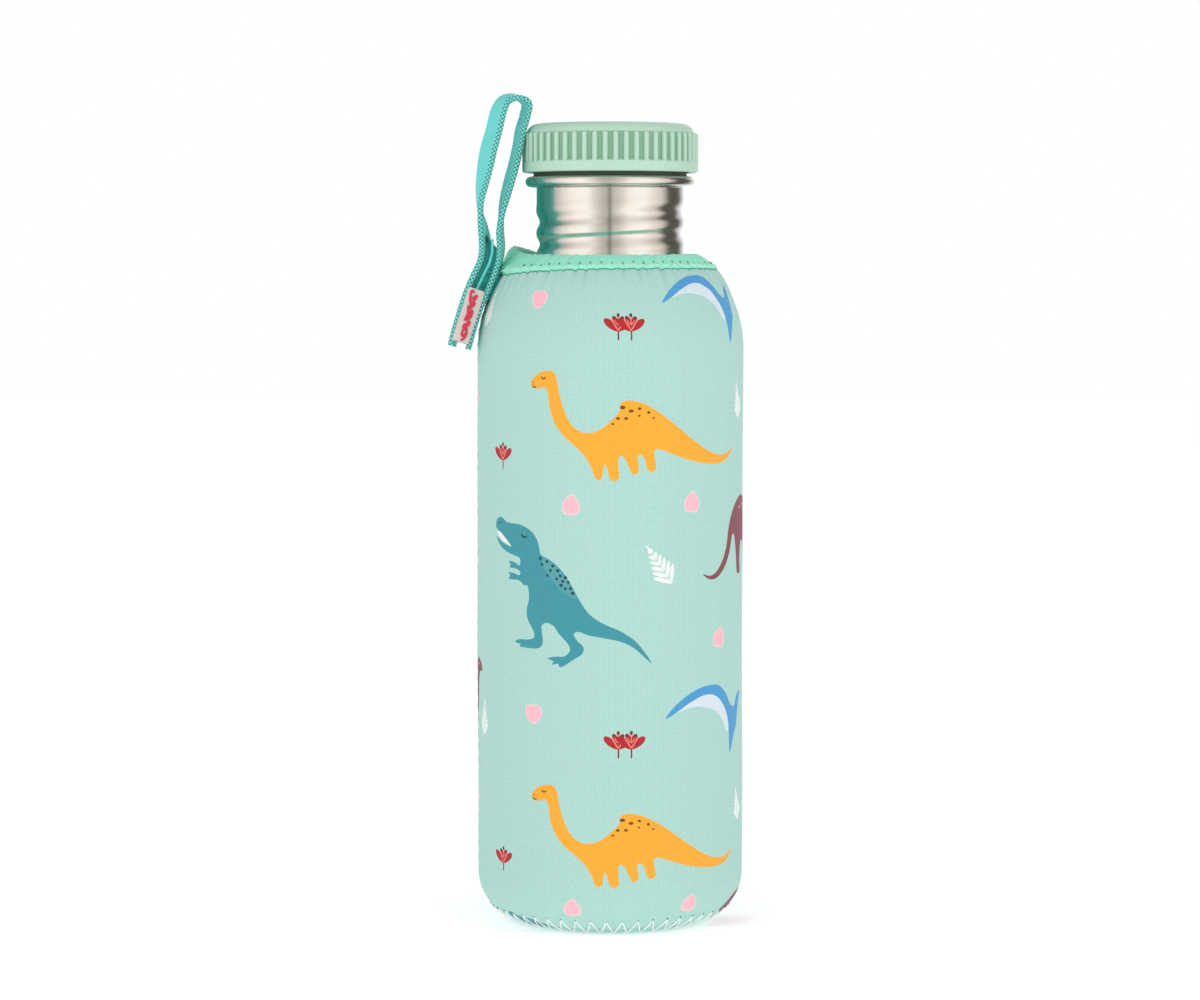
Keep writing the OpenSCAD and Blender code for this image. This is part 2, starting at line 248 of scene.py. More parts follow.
def lathe(
    name: str, radius: np.ndarray, z: np.ndarray, finish: list, closed: bool = True
) -> bpy.types.Object:
    """A surface of revolution, with a radius and height that may vary round the axis.

    Args:
        name: the piece's name.
        radius: (rows, columns) radii; rows follow the outline counter-clockwise in (r, z).
        z: (rows, columns) heights.
        finish: its materials.
        closed: whether the outline closes.

    Returns:
        The new object.
    """
    rows, cols = radius.shape
    azimuth = np.linspace(0, 360, cols, endpoint=False)[None, :]
    pts = around(radius, azimuth, z).reshape(-1, 3)
    return new_object(name, pts, grid_faces(rows, cols, closed, True), finish)


def tube(
    name: str, path: np.ndarray, radius: float, sides: int, closed: bool, finish: list
) -> bpy.types.Object:
    """A round thread along a path: rings of points in the plane across the path at each point.

    Args:
        name: the piece's name.
        path: (n, 3) centre line in millimetres.
        radius: the thread's radius.
        sides: points in a ring.
        closed: whether the path returns to its start.
        finish: its materials.

    Returns:
        The new object.
    """
    pts, quads = tube_points(path, radius, sides, closed)
    return new_object(name, pts, quads, finish)


def end_faces(rows: int, sides: int) -> np.ndarray:
    """Quads that close both ends of a tube of rings, fanned from each ring's first point."""
    fan = np.array([[0, k, k + 1, k + 2] for k in range(1, sides - 1, 2)])
    return np.concatenate([fan[:, ::-1], fan + (rows - 1) * sides])


def tube_points(
    path: np.ndarray, radius: float, sides: int, closed: bool
) -> tuple[np.ndarray, np.ndarray]:
    """The points and quads of a tube: at each point of the path, a circle in the plane across it.

    An open path's first and last rings shrink to a quarter and are closed.

    Args:
        path: (n, 3) centre line in millimetres.
        radius: the thread's radius.
        sides: points in a ring.
        closed: whether the path returns to its start.

    Returns:
        The (n * sides, 3) points and the (k, 4) vertex numbers of the faces.
    """
    p = np.asarray(path, float)
    ahead = np.roll(p, -1, 0) - np.roll(p, 1, 0)
    if not closed:
        ahead[0], ahead[-1] = p[1] - p[0], p[-1] - p[-2]
    ahead /= np.linalg.norm(ahead, axis=1, keepdims=True)
    up = np.array([0.31, 0.17, 0.93])
    side = np.cross(ahead, up)
    side /= np.linalg.norm(side, axis=1, keepdims=True)
    over = np.cross(side, ahead)
    t = 2 * math.pi * np.arange(sides) / sides
    size = np.full(len(p), radius)
    if not closed:
        size[[0, -1]] = radius * 0.25
    ring = p[:, None] + size[:, None, None] * (
        side[:, None] * np.cos(t)[None, :, None] + over[:, None] * np.sin(t)[None, :, None]
    )
    faces = grid_faces(len(p), sides, closed, True)
    if not closed:
        faces = np.concatenate([faces, end_faces(len(p), sides)])
    return ring.reshape(-1, 3), faces[:, ::-1]


def join_tubes(
    name: str, paths: list, radius: float, sides: int, finish: list
) -> bpy.types.Object:
    """Makes many short open tubes as one object.

    Args:
        name: the piece's name.
        paths: (n, 3) centre lines in millimetres.
        radius: the threads' radius.
        sides: points in a ring.
        finish: its materials.

    Returns:
        The new object.
    """
    points, faces, base = [], [], 0
    for path in paths:
        pts, quads = tube_points(path, radius, sides, False)
        points.append(pts)
        faces.append(quads + base)
        base += len(pts)
    return new_object(name, np.concatenate(points), np.concatenate(faces), finish)


# ---------------------------------------------------------------- finishes


def node(
    tree: bpy.types.NodeTree, kind: str, settings: dict | None = None, **links: bpy.types.NodeSocket
) -> bpy.types.Node:
    """Adds a shader node.

    Args:
        tree: the node tree.
        kind: the node's type name.
        settings: attributes, or input values by socket name or number.
        links: input sockets, with spaces as underscores or by number after an i, to the
            outputs that feed them.

    Returns:
        The node.
    """
    made = tree.nodes.new(kind)
    for key, value in (settings or {}).items():
        if isinstance(key, int) or key in made.inputs:
            made.inputs[key].default_value = value
        else:
            setattr(made, key, value)
    for key, output in links.items():
        wanted = int(key[1:]) if key[0] == "i" and key[1:].isdigit() else key.replace("_", " ")
        tree.links.new(output, made.inputs[wanted])
    return made


class Weave(Enum):
    """How a fabric's surface is made: the spacing in millimetres across and along, and its depth.

    The picot edge and the braid are drawn about twice as coarse as the yarn, so that they show.
    """

    KNIT = (0.56, 0.5, 0.05)
    RIB = (0.9, 0.42, 0.09)
    TWILL = (0.7, 0.55, 0.06)
    SATIN = (0.3, 0.9, 0.04)
    PICOT = (1.35, 1.1, 0.2)
    BRAID = (1.0, 0.8, 0.14)
    NONE = (0.0, 0.0, 0.0)


@dataclass(frozen=True)
class Fabric:
    """A dyed or printed fabric: a rough base with sheen, and a weave read from the UV map."""

    name: str
    colour: str
    weave: Weave
    roughness: float = 0.85
    mottle: float = 0.05

    def build(self) -> bpy.types.Material:
        """Makes the material. The wave's period is 0.314 / scale, so scale is 0.314 / spacing.

        Returns:
            The new material.
        """
        mat = bpy.data.materials.new(self.name)
        mat.use_nodes = True
        tree = mat.node_tree
        bsdf = tree.nodes["Principled BSDF"]
        bsdf.inputs["Roughness"].default_value = self.roughness
        bsdf.inputs["Sheen Weight"].default_value = 0.1
        bsdf.inputs["Sheen Roughness"].default_value = 0.5
        base = linear(self.colour)
        bsdf.inputs["Base Color"].default_value = base
        across, lengthways, depth = self.weave.value
        if not depth:
            return mat
        uv = node(tree, "ShaderNodeUVMap", {"uv_map": "UVMap"})
        wave = {"wave_type": "BANDS", "wave_profile": "SIN", "Distortion": 0.35, "Detail": 1.0}
        cols = node(
            tree, "ShaderNodeTexWave",
            {**wave, "bands_direction": "X", "Scale": 0.314 / across, "Detail Scale": 1.5},
            Vector=uv.outputs[0],
        )
        rows = node(
            tree, "ShaderNodeTexWave",
            {**wave, "bands_direction": "DIAGONAL" if self.weave is Weave.TWILL else "Y",
             "Scale": 0.314 / lengthways},
            Vector=uv.outputs[0],
        )
        if self.weave in (Weave.PICOT, Weave.BRAID):
            centre = {"operation": "MULTIPLY_ADD", 1: 2.0, 2: -1.0}
            centred = [
                node(tree, "ShaderNodeMath", centre, i0=w.outputs["Fac"]) for w in (cols, rows)
            ]
            both = node(
                tree, "ShaderNodeMath", {"operation": "MULTIPLY_ADD", 2: 0.75},
                i0=centred[0].outputs[0], i1=centred[1].outputs[0],
            )
        else:
            both = node(
                tree, "ShaderNodeMath", {"operation": "MULTIPLY_ADD", 1: 0.5},
                i0=rows.outputs["Fac"], i2=cols.outputs["Fac"],
            )
        # How dark the weave's low places turn: painted shade in the picot's gaps, grain elsewhere.
        dark = {Weave.PICOT: 0.2, Weave.BRAID: 0.8}.get(self.weave, 0.87)
        fuzz = node(tree, "ShaderNodeTexNoise", {"Scale": 1.6, "Detail": 3.0}, Vector=uv.outputs[0])
        spot = node(
            tree, "ShaderNodeMapRange",
            {"From Min": 0.3, "From Max": 0.7, "To Min": 1 - self.mottle,
             "To Max": 1 + self.mottle},
            Value=fuzz.outputs["Fac"],
        )
        shade = node(
            tree, "ShaderNodeMapRange",
            {"From Min": 0.0, "From Max": 1.5, "To Min": dark, "To Max": 1.04},
            Value=both.outputs[0],
        )
        gain = node(
            tree, "ShaderNodeMath", {"operation": "MULTIPLY"},
            i0=spot.outputs[0], i1=shade.outputs[0],
        )
        tint = node(
            tree, "ShaderNodeVectorMath", {"operation": "SCALE", 0: base[:3]},
            Scale=gain.outputs[0],
        )
        tree.links.new(tint.outputs[0], bsdf.inputs["Base Color"])
        relief = node(
            tree, "ShaderNodeBump", {"Strength": 0.6, "Distance": depth * MM},
            Height=both.outputs[0],
        )
        tree.links.new(relief.outputs[0], bsdf.inputs["Normal"])
        return mat


@dataclass(frozen=True)
class Plastic:
    """A moulded plastic or rubber with a faint orange-peel surface."""

    name: str
    colour: str
    roughness: float
    through: float = 0.0
    # the darker colour painted as shade where the piece's shade attribute is 1; empty for none
    hollow: str = ""

    def build(self) -> bpy.types.Material:
        """Makes the material; the peel's grains are about 0.5 mm. Where a piece's own shade
        attribute rises to 1, the colour turns to the darker given colour, as painted shade.

        Returns:
            The new material.
        """
        mat = bpy.data.materials.new(self.name)
        mat.use_nodes = True
        tree = mat.node_tree
        bsdf = tree.nodes["Principled BSDF"]
        bsdf.inputs["Base Color"].default_value = linear(self.colour)
        bsdf.inputs["Roughness"].default_value = self.roughness
        bsdf.inputs["Subsurface Weight"].default_value = self.through
        bsdf.inputs["Subsurface Radius"].default_value = (0.8 * MM, 0.9 * MM, 0.8 * MM)
        spot = node(tree, "ShaderNodeTexCoord")
        peel = node(
            tree, "ShaderNodeTexNoise", {"Scale": 2.0 / MM, "Detail": 2.0},
            Vector=spot.outputs["Object"],
        )
        relief = node(
            tree, "ShaderNodeBump", {"Strength": 0.12, "Distance": 0.02 * MM},
            Height=peel.outputs["Fac"],
        )
        if self.hollow:
            low = node(tree, "ShaderNodeAttribute", {"attribute_name": "hollow"})
            tone = node(
                tree, "ShaderNodeMix",
                {"data_type": "RGBA", 6: linear(self.colour), 7: linear(self.hollow)},
                i0=low.outputs["Fac"],
            )
            tree.links.new(tone.outputs[2], bsdf.inputs["Base Color"])
        tree.links.new(relief.outputs[0], bsdf.inputs["Normal"])
        return mat


@dataclass(frozen=True)
class DrawnSteel:
    """Stainless steel turned and drawn round its axis, so its fine lines run round the bottle.

    Where a piece's own "weld" attribute rises to 1 lies the tube's ground weld, which is duller.
    """

    name: str
    colour: str
    roughness: float
    weld_colour: str = "A09E98"

    def build(self) -> bpy.types.Material:
        """Makes the material: noise stretched round the axis gives lines about 0.2 mm high.

        Returns:
            The new material.
        """
        mat = bpy.data.materials.new(self.name)
        mat.use_nodes = True
        tree = mat.node_tree
        bsdf = tree.nodes["Principled BSDF"]
        bsdf.inputs["Base Color"].default_value = linear(self.colour)
        bsdf.inputs["Metallic"].default_value = 1.0
        spot = node(tree, "ShaderNodeTexCoord")
        stretch = node(
            tree, "ShaderNodeVectorMath", {"operation": "MULTIPLY", 1: (60.0, 60.0, 5000.0)},
            i0=spot.outputs["Object"],
        )
        lines = node(
            tree, "ShaderNodeTexNoise", {"Scale": 1.0, "Detail": 4.0}, Vector=stretch.outputs[0]
        )
        rough = node(
            tree, "ShaderNodeMapRange",
            {"From Min": 0.3, "From Max": 0.7, "To Min": self.roughness - 0.05,
             "To Max": self.roughness + 0.07},
            Value=lines.outputs["Fac"],
        )
        relief = node(
            tree, "ShaderNodeBump", {"Strength": 0.15, "Distance": 0.004 * MM},
            Height=lines.outputs["Fac"],
        )
        weld = node(tree, "ShaderNodeAttribute", {"attribute_name": "weld"})
        tint = node(
            tree, "ShaderNodeMix",
            {"data_type": "RGBA", 6: linear(self.colour), 7: linear(self.weld_colour)},
            i0=weld.outputs["Fac"],
        )
        tree.links.new(tint.outputs[2], bsdf.inputs["Base Color"])
        tree.links.new(rough.outputs[0], bsdf.inputs["Roughness"])
        tree.links.new(relief.outputs[0], bsdf.inputs["Normal"])
        return mat


class Ink(Enum):
    """The print's colours on the sleeve, as sRGB."""

    MINT = "B0DAD1"
    YELLOW = "FFAF33"
    BROWN = "7A4A14"
    TEAL = "3F98A4"
    TEAL_DARK = "0F4A52"
    TEAL_LIGHT = "57A2A7"
    WHITE = "F2F6F3"
    BLUE = "4D9FD6"
    LILAC = "DCE8F1"
    PLUM = "8A4B57"
    RED = "B6262B"
    WINE = "7E2C33"
    PINK = "FFBFCB"
    BLUSH = "F6D6D6"
    CORAL = "F58A80"


class Palette:
    """Every material of the bottle, made once."""

    def __init__(self) -> None:
        """Makes the materials."""
        # Printed jersey: flat, matt ink in a fine knit's grain, with no edge to the ink.
        cloth = "polyester jersey, {} print"
        self.inks = {
            ink: Fabric(cloth.format(ink.name.lower()), ink.value, Weave.KNIT).build()
            for ink in Ink
        }
        # Lining knit: plain and matt, seen only through the mouth.
        self.lining = Fabric("polyester lining knit", "7FB8AC", Weave.NONE).build()
        # Neoprene: nearly black and without shine, as a cut edge.
        self.foam = Plastic("neoprene foam", "2B2E2E", 0.9).build()
        # Fold-over elastic: fine ribs with a faint nylon shine, the brightest of the greens.
        self.binding = Fabric("nylon fold-over elastic", "9DF3D6", Weave.RIB, 0.7, 0.02).build()
        # Sewing threads: a slightly shiny line, white at the base and mint at the mouth.
        self.thread = Fabric("polyester sewing thread", "F6FBF9", Weave.NONE, 0.6).build()
        self.mint_thread = Fabric("polyester thread, mint", "C4F7E4", Weave.NONE, 0.6).build()
        # Needle holes: small dark dashes where the elastic is drawn in.
        # The same dark green paints the shadow under the binding's lower edge.
        self.needle_mark_and_shadow = Fabric("needle hole in elastic", "3F9C80", Weave.NONE, 0.9).build()
        # Woven tape: a slanting twill across its face.
        self.tape = Fabric("woven polypropylene tape", "6CDED9", Weave.TWILL, 0.6, 0.02).build()
        # Edge yarn: dark gaps of painted shade between bright beads make the edge look crocheted.
        self.tape_edge = Fabric("crocheted edge yarn", "7DEDE5", Weave.PICOT, 0.6, 0.0).build()
        # The tape's inside at its fold: the same yarn darkened as painted shade, with a coarse
        # braid.
        self.tape_shade = Fabric(
            "woven polypropylene tape, inside", "34B1A8", Weave.BRAID, 0.7, 0.03).build()
        # Bar tack: a block of thread between the tails; its darker turquoise is painted shade.
        self.tack = Fabric("polyester thread, turquoise", "2FA99F", Weave.NONE, 0.6).build()
        # Woven label: warm white with the faint lines of its satin.
        self.label = Fabric("satin woven label", "D6CCC7", Weave.SATIN, 0.5, 0.02).build()
        # Embroidery yarn: a soft red line that stands up from the label.
        self.label_yarn = Fabric("embroidery yarn, red", "D8324F", Weave.NONE, 0.6).build()
        # Drawn stainless steel: a mirror blurred along its fine lines, with a duller weld.
        self.steel = DrawnSteel("stainless steel 18/8, satin drawn", "DAD6D2", 0.2).build()
        # Moulded polypropylene: soft broad highlights on the ribs; the deeper green between
        # them is painted shade.
        self.cap = Plastic("polypropylene, sage", "B6D7C3", 0.42, 0.1, "86B093").build()
        # Natural polypropylene: milky, with some light through it.
        self.plug = Plastic("polypropylene, natural", "DDE2DD", 0.45, 0.2).build()
        # Silicone seal: a dark, dull line under the cap; its dark is painted shade of the gap.
        self.seal_and_gap_shade = Plastic("silicone, dark olive", "46503D", 0.55).build()


# ---------------------------------------------------------------- steel bottle


@dataclass
class SteelBottle:
    """The steel tube with its shoulder, neck, rolled thread and rolled rim, and its welded base."""

    body_r: float = 32.3
    wall: float = 0.6
    corner_z: float = 13.0
    shoulder_z: float = 152.0
    shoulder_r: float = 26.0
    fillet: float = 6.0
    neck_r: float = 19.45
    neck_h: float = 17.0
    rim_out: float = 2.95
    rim_h: float = 2.5
    bead_r: float = 1.35
    thread_top: float = 188.94
    thread_from: float = 40.0
    thread_turns: float = 1.9
    pitch: float = 5.8
    depth: float = 0.8
    weld_azimuth: float = 269.3
    weld_w: float = 1.3
    columns: int = 256

    def groove(self, azimuth: np.ndarray, z: np.ndarray) -> np.ndarray:
        """How far the rolled thread pushes the neck's wall in at each place.

        The groove's height is thread_top less pitch times the turns from its upper end, and its
        section is a bell; between two turns the wall swells out a little.

        Args:
            azimuth: directions in degrees.
            z: heights.

        Returns:
            The inward push in millimetres.
        """
        push = np.zeros(np.broadcast_shapes(azimuth.shape, z.shape))
        swell = np.zeros_like(push)
        for lap in range(3):
            turns = ((self.thread_from - azimuth) % 360) / 360 + lap
            fade = smoothstep(turns, 0, 0.16) * (
                1 - smoothstep(turns, self.thread_turns - 0.16, self.thread_turns))
            off = z - (self.thread_top - self.pitch * turns)
            push += fade * bump(off, 1.65)
            swell += fade * bump(off - self.pitch / 2, 1.3) + fade * bump(off + self.pitch / 2, 1.3)
        return self.depth * np.clip(push, 0, 1.05) - 0.16 * np.clip(swell, 0, 1)

    def outline(self) -> tuple[np.ndarray, np.ndarray]:
        """The wall's closed outline: up the outside, over the rolled rim and down the inside.

        Returns:
            The (n, 2) outline, and for each point how much of the thread's push it takes.
        """
        reach = self.shoulder_r + self.fillet
        a = math.degrees(math.acos(1 - (self.body_r - self.neck_r) / reach))
        neck_z = self.shoulder_z + reach * math.sin(math.radians(a))
        rim_z = neck_z + self.neck_h
        bead = self.bead_r

        def wall(d: float, n: int) -> np.ndarray:
            """One face of the wall, from the corner up to the rim.

            Args:
                d: how far in from the outside it lies.
                n: how many points the neck has.

            Returns:
                The (k, 2) points as radius and height.
            """
            straight = np.linspace(self.corner_z, self.shoulder_z - 1, 14)
            body = np.c_[np.full(14, self.body_r - d), straight]
            middle = self.body_r - self.shoulder_r
            shoulder = arc(middle, self.shoulder_z, self.shoulder_r - d, 0, a, 18)
            fillet = arc(self.neck_r + self.fillet, neck_z, self.fillet + d, 180 + a, 180, 9)[1:]
            neck = np.c_[np.full(n, self.neck_r - d), np.linspace(neck_z + 0.3, rim_z - 0.15, n)]
            return np.concatenate([body, shoulder, fillet, neck])

        out, inn = wall(0, 64), wall(self.wall, 64)
        rim_r = self.neck_r + self.rim_out
        roll = np.concatenate(
            [
                arc(self.neck_r + 0.35, rim_z - 0.35, 0.35, 180, 90, 4),
                arc(rim_r - bead, rim_z + bead + 0.05, bead, -90, 128, 18),
                arc(self.neck_r - self.wall + 0.8, rim_z + self.rim_h - 0.8, 0.8, 90, 180, 6),
            ]
        )
        line = np.concatenate([out, roll, inn[::-1]])
        z = line[:, 1]
        share = smoothstep(z, neck_z - 1, neck_z + 1) * (
            1 - smoothstep(z, rim_z - 1.5, rim_z - 0.5))
        return line, share

    def build(self, palette: Palette) -> list:
        """Makes the body; its radius is the outline's less the thread's push.

        Args:
            palette: the materials.

        Returns:
            The made objects.
        """
        line, share = self.outline()
        azimuth = np.linspace(0, 360, self.columns, endpoint=False)[None, :]
        z = np.repeat(line[:, 1:2], self.columns, 1)
        radius = line[:, :1] - share[:, None] * self.groove(azimuth, z)
        seam = bump(turn_off(azimuth, self.weld_azimuth), self.weld_w)
        outer = (np.arange(len(line)) < 14 + 18 + 8 + 64)[:, None]
        radius = radius - 0.05 * seam * share[:, None] * outer
        body = lathe("bottle_wall", radius, z, [palette.steel])
        weld = body.data.attributes.new("weld", "FLOAT", "POINT")
        share_of_weld = (seam * outer * np.ones_like(radius)).astype(np.float32)
        weld.data.foreach_set("value", share_of_weld.ravel())
        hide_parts("bottle_body")
        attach(body, "bottle")
        dress("bottle_base", palette.steel, 60)
        return [body]


def dress(name: str, finish: bpy.types.Material, angle: float) -> bpy.types.Object:
    """Gives a shown CAD node its finish, and smooths its shading below an angle.

    Args:
        name: the CAD node.
        finish: its material.
        angle: edges sharper than this many degrees stay sharp.

    Returns:
        The node's object.
    """
    obj = bpy.data.objects[name]
    obj.data.materials.clear()
    obj.data.materials.append(finish)
    obj.data.polygons.foreach_set("use_smooth", [True] * len(obj.data.polygons))
    obj.data.set_sharp_from_angle(angle=math.radians(angle))
    return obj


# ---------------------------------------------------------------- cap


@dataclass
class Cap:
    """The screw cap: skirt with half-round ribs above a plain band, rounded top, plug and seal."""

    r: float = 23.25
    z: float = 198.44
    h: float = 12.8
    wall: float = 1.5
    band: float = 2.8
    corner: float = 3.4
    ribs: int = 52
    rib_w: float = 1.4
    rib_depth: float = 0.9
    rib_h: float = 7.6
    per_rib: int = 14

    def build(self, palette: Palette) -> list:
        """Makes the shell: the outline's radius plus the ribs' half-round section, which ends in a
        quarter-sphere at the top.

        Args:
            palette: the materials.

        Returns:
            The made objects.
        """
        wall_r = self.r - self.rib_depth
        top = self.z + self.h
        rib_z = self.z + self.band
        bore = wall_r - self.wall
        outside = np.concatenate(
            [
                [[self.r - 0.9, self.z]],
                arc(self.r - 0.55, self.z + 0.55, 0.55, -90, 0, 5),
                [[self.r, rib_z - 0.3]],
                arc(self.r - 0.25, rib_z - 0.25, 0.25, 0, 90, 4),
                arc(wall_r + 0.2, rib_z + 0.2, 0.2, -90, -180, 3),
                np.c_[np.full(22, wall_r),
                      np.linspace(rib_z + 0.35, top - self.corner - 0.05, 22)],
                arc(wall_r - self.corner, top - self.corner, self.corner, 0, 90, 22),
                [[wall_r - 8, top + 0.12], [6, top + 0.2], [0, top + 0.2]],
            ]
        )
        inside = np.array([[0, top - self.wall], [bore, top - self.wall], [bore, self.z]])
        line = np.concatenate([outside, inside])
        cols = self.ribs * self.per_rib
        azimuth = np.linspace(0, 360, cols, endpoint=False)
        off = turn_off(azimuth * self.ribs, 180) / 360 * (2 * math.pi * self.r / self.ribs)
        half = self.rib_w / 2
        r = np.repeat(line[:, :1], cols, 1)
        z = np.repeat(line[:, 1:], cols, 1)
        crown = np.clip(z - (rib_z + self.rib_h - half), 0, None)
        room = half**2 - off[None, :] ** 2 - crown**2
        stand = np.where(room > 0, np.sqrt(np.clip(room, 0, None)) + self.r - half, 0)
        outer = (np.arange(len(line)) < len(outside))[:, None]
        on = (z > rib_z - 0.05) & (z < rib_z + self.rib_h) & outer
        valley = (z > rib_z + 0.3) & (z < rib_z + self.rib_h - 0.2) & on & (stand <= r)
        r = np.where(on & (stand > r), stand, r)
        shell = lathe("cap_shell_ribbed", r, z, [palette.cap])
        # Marks the valleys between the ribs, where the darker sage is painted shade.
        depth = shell.data.attributes.new("hollow", "FLOAT", "POINT")
        depth.data.foreach_set("value", valley.astype(np.float32).ravel())
        weld(shell)
        shell.data.set_sharp_from_angle(angle=math.radians(50))
        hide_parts("cap_shell")
        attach(shell, "cap")
        dress("cap_plug", palette.plug, 40)
        # The gasket's dark olive is painted shade of the gap under the cap.
        dress("cap_gasket", palette.seal_and_gap_shade, 40)
        return [shell]


# ---------------------------------------------------------------- the print


@dataclass(frozen=True)
class Patch:
    """One closed outline of the print, in millimetres on the sleeve, in one ink."""

    ink: Ink
    points: tuple
    smooth: bool = True

    def outline(self) -> np.ndarray:
        """The outline's points, smoothed when the patch is."""
        p = np.array(self.points, float)
        return spline(p, 3, True) if self.smooth else p


def blob(
    ink: Ink, x: float, y: float, rx: float, ry: float, lean: float = 0.0, sides: int = 8
) -> Patch:
    """An oval patch: the cosine and sine of evenly spread angles, stretched and turned.

    Args:
        ink: its colour.
        x: its middle, round the sleeve.
        y: its middle's height.
        rx: half its width.
        ry: half its height.
        lean: its turn in degrees.
        sides: how many points.

    Returns:
        The patch.
    """
    t = 2 * math.pi * np.arange(sides) / sides
    c, s = math.cos(math.radians(lean)), math.sin(math.radians(lean))
    px, py = rx * np.cos(t), ry * np.sin(t)
    return Patch(ink, tuple(zip(x + c * px - s * py, y + s * px + c * py)), False)


def stroke(ink: Ink, line: list, width: float) -> Patch:
    """A line of even width, tapered at both ends: its points plus and minus half the width.

    Args:
        ink: its colour.
        line: the middle line's points.
        width: its width.

    Returns:
        The patch.
    """
    p = spline(np.array(line, float), 4, False)
    d = np.gradient(p, axis=0)
    n = np.c_[-d[:, 1], d[:, 0]] / np.linalg.norm(d, axis=1, keepdims=True)
    from_end = np.minimum(np.arange(len(p)), np.arange(len(p))[::-1])
    w = width / 2 * np.clip(from_end + 0.4, 0, 1)[:, None]
    return Patch(ink, tuple(map(tuple, np.concatenate([p + n * w, (p - n * w)[::-1]]))), False)


def turned(shape: np.ndarray, x: float, y: float, lean: float) -> tuple:
    """A shape turned by lean degrees to the left and moved to (x, y)."""
    c, s = math.cos(math.radians(lean)), math.sin(math.radians(lean))
    return tuple(map(tuple, np.asarray(shape, float) @ np.array([[c, s], [-s, c]]) + (x, y)))


def drop(x: float, y: float, lean: float, size: float = 1.0) -> list:
    """A pink drop in a paler rim: broad and round below, pointed above.

    Args:
        x: its middle, round the sleeve.
        y: its middle's height.
        lean: its turn to the left in degrees.
        size: its size against the usual one.

    Returns:
        Its patches.
    """
    shape = np.array([(0.35, 2.6), (1.3, 1.5), (2.1, 0.1), (2.0, -1.4), (1.0, -2.2), (-1.1, -2.2),
                      (-2.1, -1.3), (-2.1, 0.3), (-1.1, 1.6)]) * size
    rim = Patch(Ink.BLUSH, turned(shape * 1.14, x, y, lean))
    return [rim, Patch(Ink.PINK, turned(shape, x, y, lean))]


def tulip(x: float, y: float, size: float = 1.0) -> list:
    """A red flower: two broad petals, two slim ones, a dotted crown and a stem.

    Args:
        x: the stem's foot, round the sleeve.
        y: the stem's foot's height.
        size: its size against the usual one.

    Returns:
        Its patches.
    """
    base = y + 2.4 * size

    def petal(ink: Ink, lean: float, length: float, width: float) -> Patch:
        """One petal, from the stem's top, leaning to the left by some degrees."""
        shape = np.array([(0, 0), (0.42, 0.32), (0.5, 0.72), (0.22, 0.97), (-0.22, 0.97),
                          (-0.5, 0.7), (-0.42, 0.3)]) * (width * size, length * size)
        return Patch(ink, turned(shape, x, base, lean))

    out = [stroke(Ink.WINE, [(x, y), (x + 0.05, y + 1.2), (x, base + 0.6)], 0.4)]
    out += [petal(Ink.RED, 14, 4.0, 1.3), petal(Ink.RED, -14, 4.0, 1.3)]
    out += [petal(Ink.RED, 49, 4.9, 1.85), petal(Ink.RED, -49, 4.7, 1.85)]
    for side in (-1, 1):
        vein = [(x, base + 0.2 * size), (x + side * 0.8 * size, base + 1.5 * size),
                (x + side * 1.9 * size, base + 3.3 * size)]
        out.append(stroke(Ink.CORAL, vein, 0.34))
    for dx, dy in ((0, 4.2), (-1.2, 3.5), (1.2, 3.4)):
        out.append(stroke(Ink.CORAL, [(x, base + 1.6 * size), (x + 0.6 * dx, base + 2.4 * size),
                                      (x + dx * size, base + dy * size)], 0.24))
        out.append(blob(Ink.WINE, x + dx * size, base + dy * size, 0.45, 0.6, 0, 7))
    return out


def fern(x: float, y: float, lean: float, length: float = 12.6, pairs: int = 6) -> list:
    """A white leaf: slanted pairs of leaflets that shorten towards the tip, each a bar at 41
    degrees to the middle line.

    Args:
        x: its root, round the sleeve.
        y: its root's height.
        lean: its turn to the left in degrees.
        length: from root to tip.
        pairs: how many pairs of leaflets.

    Returns:
        Its patches.
    """
    out = []
    rise, reach = math.cos(math.radians(41)), math.sin(math.radians(41))
    for i in range(pairs):
        low = i * (length - 1.2) / pairs
        long = length * 0.4 * (1 - i / (pairs + 0.3))
        for side in (-1, 1):
            shape = [(0.05 * side, low), (0.05 * side, low + 1.35),
                     (side * long * reach * 0.55, low + long * rise * 0.62 + 1.0),
                     (side * long * reach * 0.93, low + long * rise + 0.5),
                     (side * long * reach * 1.0, low + long * rise - 0.1),
                     (side * long * reach * 0.6, low + long * rise * 0.5 - 0.1)]
            out.append(Patch(Ink.WHITE, turned(shape, x, y, lean), False))
    tip = [(-0.3, length * 0.84), (0.3, length * 0.84), (0.0, length * 1.02)]
    out.append(Patch(Ink.WHITE, turned(tip, x, y, lean), False))
    return out


